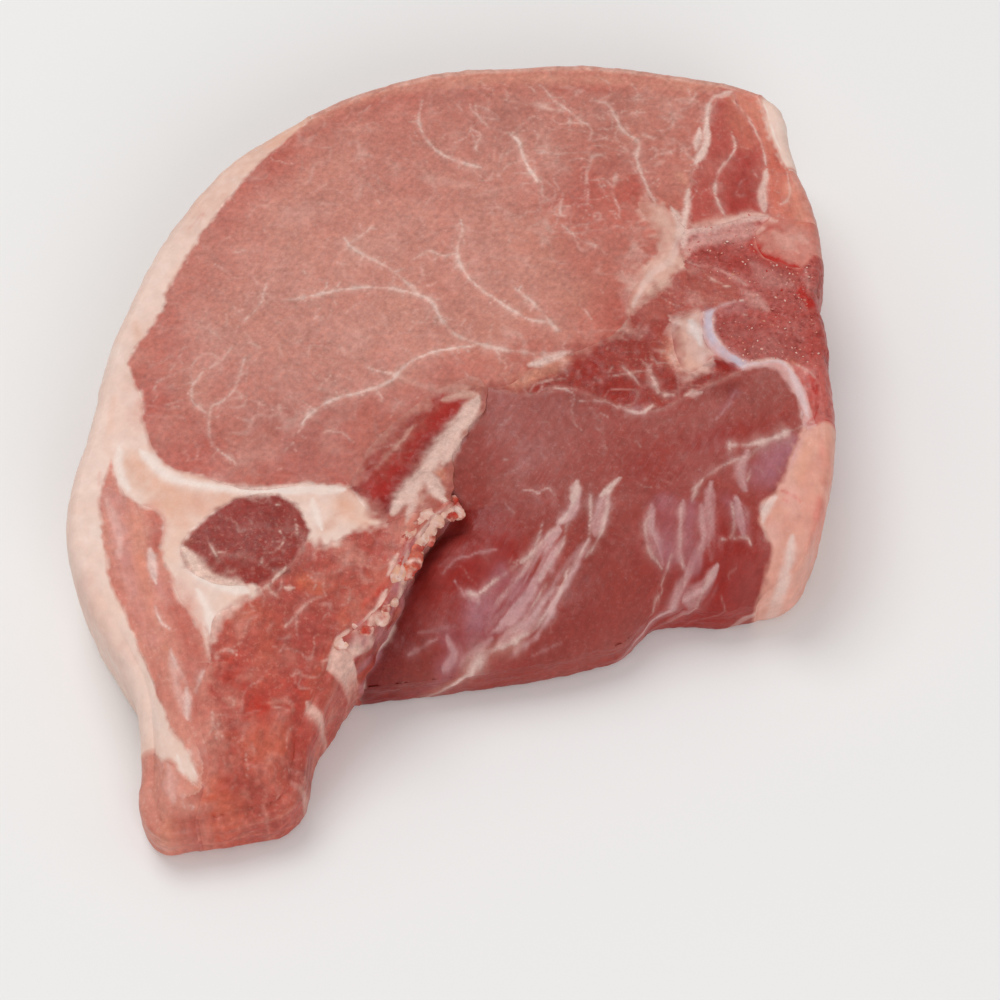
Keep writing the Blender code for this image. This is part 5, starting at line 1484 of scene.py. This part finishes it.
def tissue_tones():
    """Group: the flesh colour, turning to that of its neighbour, stained, veined and painted with crevice
    shade by the masks.
    """
    given = [(tint.title(), "NodeSocketColor", (1, 1, 1, 1)) for tint in ("flesh",) + TINTS]
    given += [("Flecks", "NodeSocketFloat", 0.3), ("Pores", "NodeSocketFloat", 0.1)]
    nodes, given, out = new_group(
        "tissue_tones", given, [("Color", "NodeSocketColor"), ("Pits", "NodeSocketFloat")]
    )
    place = nodes.add("ShaderNodeTexCoord").outputs["Object"]
    ragged = nodes.math("MULTIPLY_ADD", nodes.mottle(place, RAGGED_SCALE, 2.0), 0.7, 0.65)
    beside = nodes.add("ShaderNodeAttribute", attribute_name="beside").outputs["Fac"]
    beside_tone = nodes.add("ShaderNodeAttribute", attribute_name="beside_tone").outputs["Color"]
    colour = given["Flesh"]
    fine = nodes.mottle(place, FLECK_SCALE)
    flecks = nodes.add("ShaderNodeMapRange", fine, *FLECK_RANGE).outputs[0]
    colour = nodes.mixed(nodes.math("MULTIPLY", flecks, given["Flecks"]), colour, given["Pale"])
    holes = nodes.mottle(place, PORE_SCALE, 2.0)
    pits = nodes.add("ShaderNodeMapRange", holes, *PORE_RANGE).outputs[0]
    pits = nodes.math("MULTIPLY", pits, given["Pores"])
    colour = nodes.mixed(pits, colour, given["Deep"])
    for tint in TINTS:
        if tint == "fat":
            colour = nodes.mixed(beside, colour, beside_tone)
        mask = nodes.add("ShaderNodeAttribute", attribute_name=tint).outputs["Fac"]
        share = nodes.add("ShaderNodeMath", mask, ragged, operation="MULTIPLY", use_clamp=True).outputs[0]
        colour = nodes.mixed(share, colour, given[tint.title()])
    nodes.feed(out["Color"], colour)
    nodes.feed(out["Pits"], pits)
    return nodes.tree


def meat_grain():
    """Group: fine mottling and fibres, as a change of the colour and as height."""
    nodes, given, out = new_group(
        "meat_grain",
        [
            ("Color", "NodeSocketColor", (1, 1, 1, 1)),
            ("Mottle", "NodeSocketFloat", 0.1),
            ("Mottle Scale", "NodeSocketFloat", 900),
            ("Fibre", "NodeSocketFloat", 0.1),
            ("Fibre Turn", "NodeSocketVector", (0, 0, 0)),
            ("Fibre Scale", "NodeSocketVector", (300, 1500, 300)),
        ],
        [("Color", "NodeSocketColor"), ("Height", "NodeSocketFloat")],
    )
    place = nodes.add("ShaderNodeTexCoord").outputs["Object"]
    fine = nodes.mottle(place, given["Mottle Scale"])
    broad = nodes.mottle(place, nodes.math("MULTIPLY", given["Mottle Scale"], BROADER))
    turned = nodes.add("ShaderNodeMapping", place, None, given["Fibre Turn"], None)
    stretched = nodes.add(
        "ShaderNodeVectorMath", turned.outputs[0], given["Fibre Scale"], operation="MULTIPLY"
    )
    fibre = nodes.mottle(stretched.outputs[0], 1.0)
    amount = nodes.math("MULTIPLY", nodes.math("SUBTRACT", fine, 0.5), FINE_MOTTLE)
    softer = nodes.math("MULTIPLY", nodes.math("SUBTRACT", broad, 0.5), BROAD_MOTTLE)
    amount = nodes.math("ADD", amount, softer)
    amount = nodes.math("MULTIPLY_ADD", amount, given["Mottle"], 1.0)
    threads = nodes.math("MULTIPLY", nodes.math("SUBTRACT", fibre, 0.5), given["Fibre"])
    amount = nodes.math("MULTIPLY_ADD", threads, FIBRE_MOTTLE, amount)
    scaled = nodes.add("ShaderNodeVectorMath", given["Color"], operation="SCALE")
    nodes.feed(scaled.inputs["Scale"], amount)
    nodes.feed(out["Color"], scaled.outputs[0])
    nodes.feed(out["Height"], nodes.math("ADD", fine, fibre))
    return nodes.tree


def wet_film():
    """Group: where the cut face is wet, as roughness and as the weight of a thin wet coat."""
    nodes, given, out = new_group(
        "wet_film",
        [("Dry", "NodeSocketFloat", 0.5), ("Wet", "NodeSocketFloat", 0.3)],
        [("Roughness", "NodeSocketFloat"), ("Film", "NodeSocketFloat")],
    )
    place = nodes.add("ShaderNodeTexCoord").outputs["Object"]
    pools = nodes.mottle(place, POOL_SCALE)
    beads = nodes.mottle(place, BEAD_SCALE)
    share = nodes.math("MULTIPLY_ADD", beads, 0.5, nodes.math("MULTIPLY", pools, 0.5))
    share = nodes.add("ShaderNodeMapRange", share, *WET_RANGE).outputs[0]
    dryness = nodes.math("SUBTRACT", 1.0, share)
    rough = nodes.math("MULTIPLY", given["Dry"], dryness)
    nodes.feed(out["Roughness"], nodes.math("MULTIPLY_ADD", given["Wet"], share, rough))
    nodes.feed(out["Film"], nodes.math("MULTIPLY", share, FILM_WEIGHT))
    return nodes.tree


def tissue_material(name, tissue, groups):
    """A tissue's material: stained flesh with its grain, under a film of moisture."""
    *colours, mottle, fibre, rough, (flecks, pores) = TISSUES[tissue]
    made = bpy.data.materials.new(name)
    made.use_nodes = True
    nodes = Nodes(made.node_tree)
    shader = made.node_tree.nodes["Principled BSDF"]
    tones, grain, film = (nodes.add("ShaderNodeGroup", node_tree=group) for group in groups)
    for tint, colour in zip(("flesh",) + TINTS, colours):
        tones.inputs[tint.title()].default_value = (*colour, 1)
    tones.inputs["Flecks"].default_value = flecks
    tones.inputs["Pores"].default_value = pores
    nodes.feed(grain.inputs["Color"], tones.outputs["Color"])
    grain.inputs["Mottle"].default_value = mottle[0]
    grain.inputs["Mottle Scale"].default_value = 1000 / mottle[1]
    grain.inputs["Fibre"].default_value = fibre[0]
    grain.inputs["Fibre Turn"].default_value = (0, 0, -fibre[1])
    long_way = FIBRE_SCALE / fibre[2]
    grain.inputs["Fibre Scale"].default_value = (long_way, FIBRE_SCALE, long_way)
    film.inputs["Dry"].default_value = rough[0]
    film.inputs["Wet"].default_value = rough[1]
    bump = nodes.add("ShaderNodeBump")
    bump.inputs["Strength"].default_value = BUMP_STRENGTH
    bump.inputs["Distance"].default_value = BUMP_DISTANCE
    nodes.feed(bump.inputs["Height"], nodes.math("SUBTRACT", grain.outputs["Height"], tones.outputs["Pits"]))
    nodes.feed(shader.inputs["Base Color"], grain.outputs["Color"])
    nodes.feed(shader.inputs["Roughness"], film.outputs["Roughness"])
    nodes.feed(shader.inputs["Coat Weight"], film.outputs["Film"])
    nodes.feed(shader.inputs["Normal"], bump.outputs["Normal"])
    shader.inputs["Coat Roughness"].default_value = WET_COAT_ROUGHNESS
    shader.inputs["IOR"].default_value = MOISTURE_IOR
    shader.inputs["Specular IOR Level"].default_value = SURFACE_GLOSS
    made.diffuse_color = (*colours[0], 1)
    return made

# What grows on the pieces
WRINKLE_SCALE = 700.0  # features a metre
SPOT_SCALES = (("blood", 520.0), ("fat", 640.0), ("orange", 380.0))
SPOT_RANGE = (0.48, 0.66)
LUMP_LENGTH = 1.5  # for its width's 1
LIP_INSET = 0.2  # of the scraps from the flank's edge
LIP_SUNK = 1.1
GRIT_STEP = 0.9
GRIT_SUNK = 0.04


def new_growth(name, inputs):
    """A Geometry Nodes tree with a geometry in and out, and other named inputs."""
    tree = bpy.data.node_groups.new(name, "GeometryNodeTree")
    for label, kind in (("Geometry", "NodeSocketGeometry"), *inputs, ("Material", "NodeSocketMaterial")):
        tree.interface.new_socket(label, in_out="INPUT", socket_type=kind)
    tree.interface.new_socket("Geometry", in_out="OUTPUT", socket_type="NodeSocketGeometry")
    nodes = Nodes(tree)
    return nodes, nodes.add("NodeGroupInput").outputs, nodes.add("NodeGroupOutput").inputs


def chance_between(nodes, kind, low, high, seed):
    """A random value for each point, of the type that the given ends have."""
    node = nodes.add("FunctionNodeRandomValue", data_type=kind)
    first = {"FLOAT_VECTOR": 0, "FLOAT": 2}[kind]
    nodes.feed(node.inputs[first], low)
    nodes.feed(node.inputs[first + 1], high)
    nodes.feed(node.inputs["Seed"], seed)
    return node.outputs[first // 2]


def finished(nodes, given, out, instances):
    """Makes instances real, wrinkles and tints their surface and gives them the material."""
    real = nodes.add("GeometryNodeRealizeInstances", instances).outputs[0]
    normal = nodes.add("GeometryNodeInputNormal").outputs[0]
    spots = nodes.add("ShaderNodeTexNoise", nodes.add("GeometryNodeInputPosition").outputs[0])
    nodes.feed(spots.inputs["Scale"], WRINKLE_SCALE)
    depth = nodes.math("MULTIPLY", nodes.math("SUBTRACT", spots.outputs[0], 0.5), given["Wrinkle"])
    push = nodes.add("ShaderNodeVectorMath", normal, operation="SCALE")
    nodes.feed(push.inputs["Scale"], depth)
    moved = nodes.add("GeometryNodeSetPosition", real)
    nodes.feed(moved.inputs["Offset"], push.outputs[0])
    tinted = moved.outputs[0]
    for tint, spot_scale in SPOT_SCALES:
        patches = nodes.add("ShaderNodeTexNoise", nodes.add("GeometryNodeInputPosition").outputs[0])
        nodes.feed(patches.inputs["Scale"], spot_scale)
        share = nodes.add("ShaderNodeMapRange", patches.outputs[0], *SPOT_RANGE).outputs[0]
        named = nodes.add("GeometryNodeStoreNamedAttribute", tinted, data_type="FLOAT", domain="POINT")
        nodes.feed(named.inputs["Name"], tint)
        nodes.feed(named.inputs["Value"], share)
        tinted = named.outputs[0]
    smooth = nodes.add("GeometryNodeSetShadeSmooth", tinted)
    painted = nodes.add("GeometryNodeSetMaterial", smooth.outputs[0])
    nodes.feed(painted.inputs["Material"], given["Material"])
    nodes.feed(out[0], painted.outputs[0])
    return nodes.tree


def scattered_lumps():
    """Tree: an irregular lump near each point."""
    nodes, given, out = new_growth("scattered_lumps", [
        ("Spread", "NodeSocketVector"),
        ("Smallest", "NodeSocketFloat"),
        ("Largest", "NodeSocketFloat"),
        ("Flatness", "NodeSocketFloat"),
        ("Fineness", "NodeSocketInt"),
        ("Wrinkle", "NodeSocketFloat"),
        ("Seed", "NodeSocketInt"),
    ])
    back = nodes.add("ShaderNodeVectorMath", given["Spread"], operation="SCALE")
    nodes.feed(back.inputs["Scale"], -1.0)
    strewn = nodes.add("GeometryNodeSetPosition", given["Geometry"])
    offset = chance_between(nodes, "FLOAT_VECTOR", back.outputs[0], given["Spread"], given["Seed"])
    nodes.feed(strewn.inputs["Offset"], offset)
    ball = nodes.add("GeometryNodeMeshIcoSphere", 1.0, given["Fineness"])
    size = chance_between(nodes, "FLOAT", given["Smallest"], given["Largest"], given["Seed"])
    length = nodes.math("MULTIPLY", size, LUMP_LENGTH)
    height = nodes.math("MULTIPLY", size, given["Flatness"])
    stretched = nodes.add("ShaderNodeCombineXYZ", length, size, height)
    turn = nodes.add("ShaderNodeCombineXYZ", 0.0, 0.0)
    nodes.feed(turn.inputs["Z"], chance_between(nodes, "FLOAT", 0.0, math.tau, given["Seed"]))
    placed = nodes.add("GeometryNodeInstanceOnPoints", strewn.outputs[0])
    nodes.feed(placed.inputs["Instance"], ball.outputs[0])
    nodes.feed(placed.inputs["Rotation"], turn.outputs[0])
    nodes.feed(placed.inputs["Scale"], stretched.outputs[0])
    return finished(nodes, given, out, placed.outputs[0])


def grown(name, tree, places, material, settings):
    """A plain mesh that a tree grows from points, in millimetres in the row frame."""
    mesh = bpy.data.meshes.new(name + "_points")
    mesh.from_pydata((places * MM).tolist(), [], [])
    piece = bpy.data.objects.new(name, mesh)
    bpy.context.scene.collection.objects.link(piece)
    modifier = piece.modifiers.new("growth", "NODES")
    modifier.node_group = tree
    settings = {**settings, "Material": material}
    for item in tree.interface.items_tree:
        if item.in_out == "INPUT" and item.name in settings:
            modifier[item.identifier] = settings[item.name]
    graph = bpy.context.evaluated_depsgraph_get()
    made = bpy.data.meshes.new_from_object(piece.evaluated_get(graph))
    piece.modifiers.clear()
    piece.data = made
    made.name = name
    return piece


def on_surface(plan, node, raised):
    """Places on a piece's cut face, that far above it."""
    places = formed(plan, np.ones(len(plan)), node in TAIL_PIECES)
    return places + (0, 0, raised)


def along_lip():
    """Points on the lip of the flank, over the crevice."""
    chance = np.random.default_rng(SEED + 3)
    line = chain("flank_tender", 0.8)
    ahead = np.gradient(line, axis=0)
    inward = np.column_stack([ahead[:, 1], -ahead[:, 0]]) / np.linalg.norm(ahead, axis=1)[:, None]
    kept = rough_noise(line, 5, 97) + chance.uniform(-0.5, 0.7, len(line)) > 0
    return on_surface((line + LIP_INSET * inward)[kept], "flank", -LIP_SUNK)


def bone_grit():
    """Points strewn over the sawn face of the backbone."""
    chance = np.random.default_rng(SEED + 4)
    spots = lattice(outline(PIECES["backbone"][0])[0], GRIT_STEP)
    kept = chance.random(len(spots)) < 0.5
    return on_surface(spots[kept] + chance.uniform(-0.5, 0.5, (kept.sum(), 2)), "backbone", -GRIT_SUNK)


# The studio
WORLD_LIGHT = 0.5
# Name, place, size and power.
LAMPS = (
    ("key", (-0.35, 0.5, 1.15), 0.8, 6.5),
    ("fill", (0.3, -1.0, 0.7), 0.8, 5),
)
FLOOR_SIDE = 6
FLOOR_COLOUR = (0.86, 0.85, 0.84, 1)
SHARP_FROM = math.radians(62)  # an edge that turns more than this is not smoothed
UNDER_WAVE, UNDER_DEPTH = 1.8, 0.12  # of the hollows in the lower face


def plain_mesh(name, places, faces):
    mesh = bpy.data.meshes.new(name)
    mesh.from_pydata(places.tolist(), [], faces)
    mesh.update()
    mesh.shade_smooth()
    mesh.set_sharp_from_angle(angle=SHARP_FROM)
    return mesh


def fine_piece(name, to_frame):
    """One piece of the jigsaw with its form, its relief and its masks."""
    seam_names, tissue, _ = PIECES[name]
    body = Body(name, seam_names)
    places = formed(body.plan, body.share, name in TAIL_PIECES)
    masks, tones, lifted = tinted(body, tissue)
    normals = point_normals(places, body)
    places = places + normals * (lifted * (body.share > 0))[:, None]
    places[:, 2] = np.maximum(places[:, 2], 0)
    under = body.share == 0
    hollows = rough_noise(body.plan[under], UNDER_WAVE, 61)
    places[under, 2] = UNDER_DEPTH * np.clip(hollows, 0, 1)
    faces = body.cap.tolist() + body.base.tolist() + body.shown + body.hidden
    mesh = plain_mesh(name + "_flesh", (places + to_frame) * MM, faces)
    for kind, values in masks.items():
        held = mesh.attributes.new(kind, "FLOAT", "POINT")
        held.data.foreach_set("value", np.clip(values, 0, 1).astype(np.float32))
    held = mesh.attributes.new("beside_tone", "FLOAT_COLOR", "POINT")
    held.data.foreach_set("color", tones.astype(np.float32).ravel())
    piece = bpy.data.objects.new(name + "_flesh", mesh)
    bpy.context.scene.collection.objects.link(piece)
    return piece


def add_camera(to_frame):
    camera = bpy.data.cameras.new("camera")
    camera.lens = CAMERA_LENS
    camera.sensor_width = CAMERA_SENSOR
    camera.clip_start = 0.01
    seen_from = bpy.data.objects.new("camera", camera)
    bpy.context.scene.collection.objects.link(seen_from)
    towards = Vector((0, -math.cos(CAMERA_ELEVATION), math.sin(CAMERA_ELEVATION)))
    middle = Vector(CAMERA_TARGET) + Vector(to_frame)
    seen_from.location = (middle + towards * CAMERA_DISTANCE) * MM
    seen_from.rotation_euler = (math.pi / 2 - CAMERA_ELEVATION, 0, 0)
    bpy.context.scene.camera = seen_from


def add_light(name, place, size, power, target=(0, 0, 0)):
    light = bpy.data.lights.new(name, "AREA")
    light.shape = "DISK"
    light.size = size
    light.energy = power
    lamp = bpy.data.objects.new(name, light)
    bpy.context.scene.collection.objects.link(lamp)
    lamp.location = place
    lamp.rotation_euler = (Vector(target) - Vector(place)).to_track_quat("-Z", "Y").to_euler()


def add_studio():
    """Soft light from all round, two large soft lamps and a pale floor."""
    world = bpy.data.worlds.new("studio")
    world.use_nodes = True
    world.node_tree.nodes["Background"].inputs["Color"].default_value = (1, 1, 1, 1)
    world.node_tree.nodes["Background"].inputs["Strength"].default_value = WORLD_LIGHT
    bpy.context.scene.world = world
    bpy.context.scene.view_settings.view_transform = "Standard"
    for name, place, size, power in LAMPS:
        add_light(name, place, size, power)
    floor_mesh = bpy.data.meshes.new("floor")
    side = FLOOR_SIDE / 2
    corners = [(-side, -side, 0), (side, -side, 0), (side, side, 0), (-side, side, 0)]
    floor_mesh.from_pydata(corners, [], [(0, 1, 2, 3)])
    floor = bpy.data.objects.new("floor", floor_mesh)
    bpy.context.scene.collection.objects.link(floor)
    paint = bpy.data.materials.new("pale_floor")
    paint.use_nodes = True
    paint.node_tree.nodes["Principled BSDF"].inputs["Base Color"].default_value = FLOOR_COLOUR
    paint.node_tree.nodes["Principled BSDF"].inputs["Roughness"].default_value = 0.7
    floor_mesh.materials.append(paint)


cad_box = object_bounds()
outer_line = chain(BODY_RIM)
frame_middle = (np.array(cad_box[0]) + np.array(cad_box[1]))[:2] / 2 / MM
to_frame = np.append(frame_middle - (outer_line.min(axis=0) + outer_line.max(axis=0)) / 2, 0)
add_camera(to_frame)
add_studio()
ALL_MARKS = sum(MARKS, []) + twigs() + stray_veins()
groups = (tissue_tones(), meat_grain(), wet_film())
for name, (_, tissue, slot) in PIECES.items():
    piece = fine_piece(name, to_frame)
    piece.data.materials.append(tissue_material(name + "_tissue", tissue, groups))
    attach(piece, "root")
    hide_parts(name)

lumps = scattered_lumps()
# Name, places, tissue, slot, the node that it lies on, and the tree's settings in metres.
GROWN = (
    ("fringe_fat", along_lip(), "bone_side_fat", "fat", "flank", {
        "Spread": (0.0009, 0.0014, 0.0005), "Smallest": 0.0007, "Largest": 0.0018, "Flatness": 0.5,
        "Fineness": 4, "Wrinkle": 0.0016, "Seed": 3,
    }),
    ("fringe_shreds", along_lip(), "flank_meat", "red_lean", "flank", {
        "Spread": (0.0011, 0.0016, 0.0005), "Smallest": 0.0007, "Largest": 0.0019, "Flatness": 0.5,
        "Fineness": 4, "Wrinkle": 0.0016, "Seed": 8,
    }),
    ("bone_grit", bone_grit(), "chip_bone", "bone", "backbone", {
        "Spread": (0.0003, 0.0003, 0.00004), "Smallest": 0.00006, "Largest": 0.0002, "Flatness": 0.6,
        "Fineness": 2, "Wrinkle": 0.0001, "Seed": 5,
    }),
)
for name, places, tissue, slot, node, settings in GROWN:
    material = tissue_material(name + "_tissue", tissue, groups)
    piece = grown(name, lumps, places + to_frame, material, settings)
    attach(piece, "root")
    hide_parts(node)
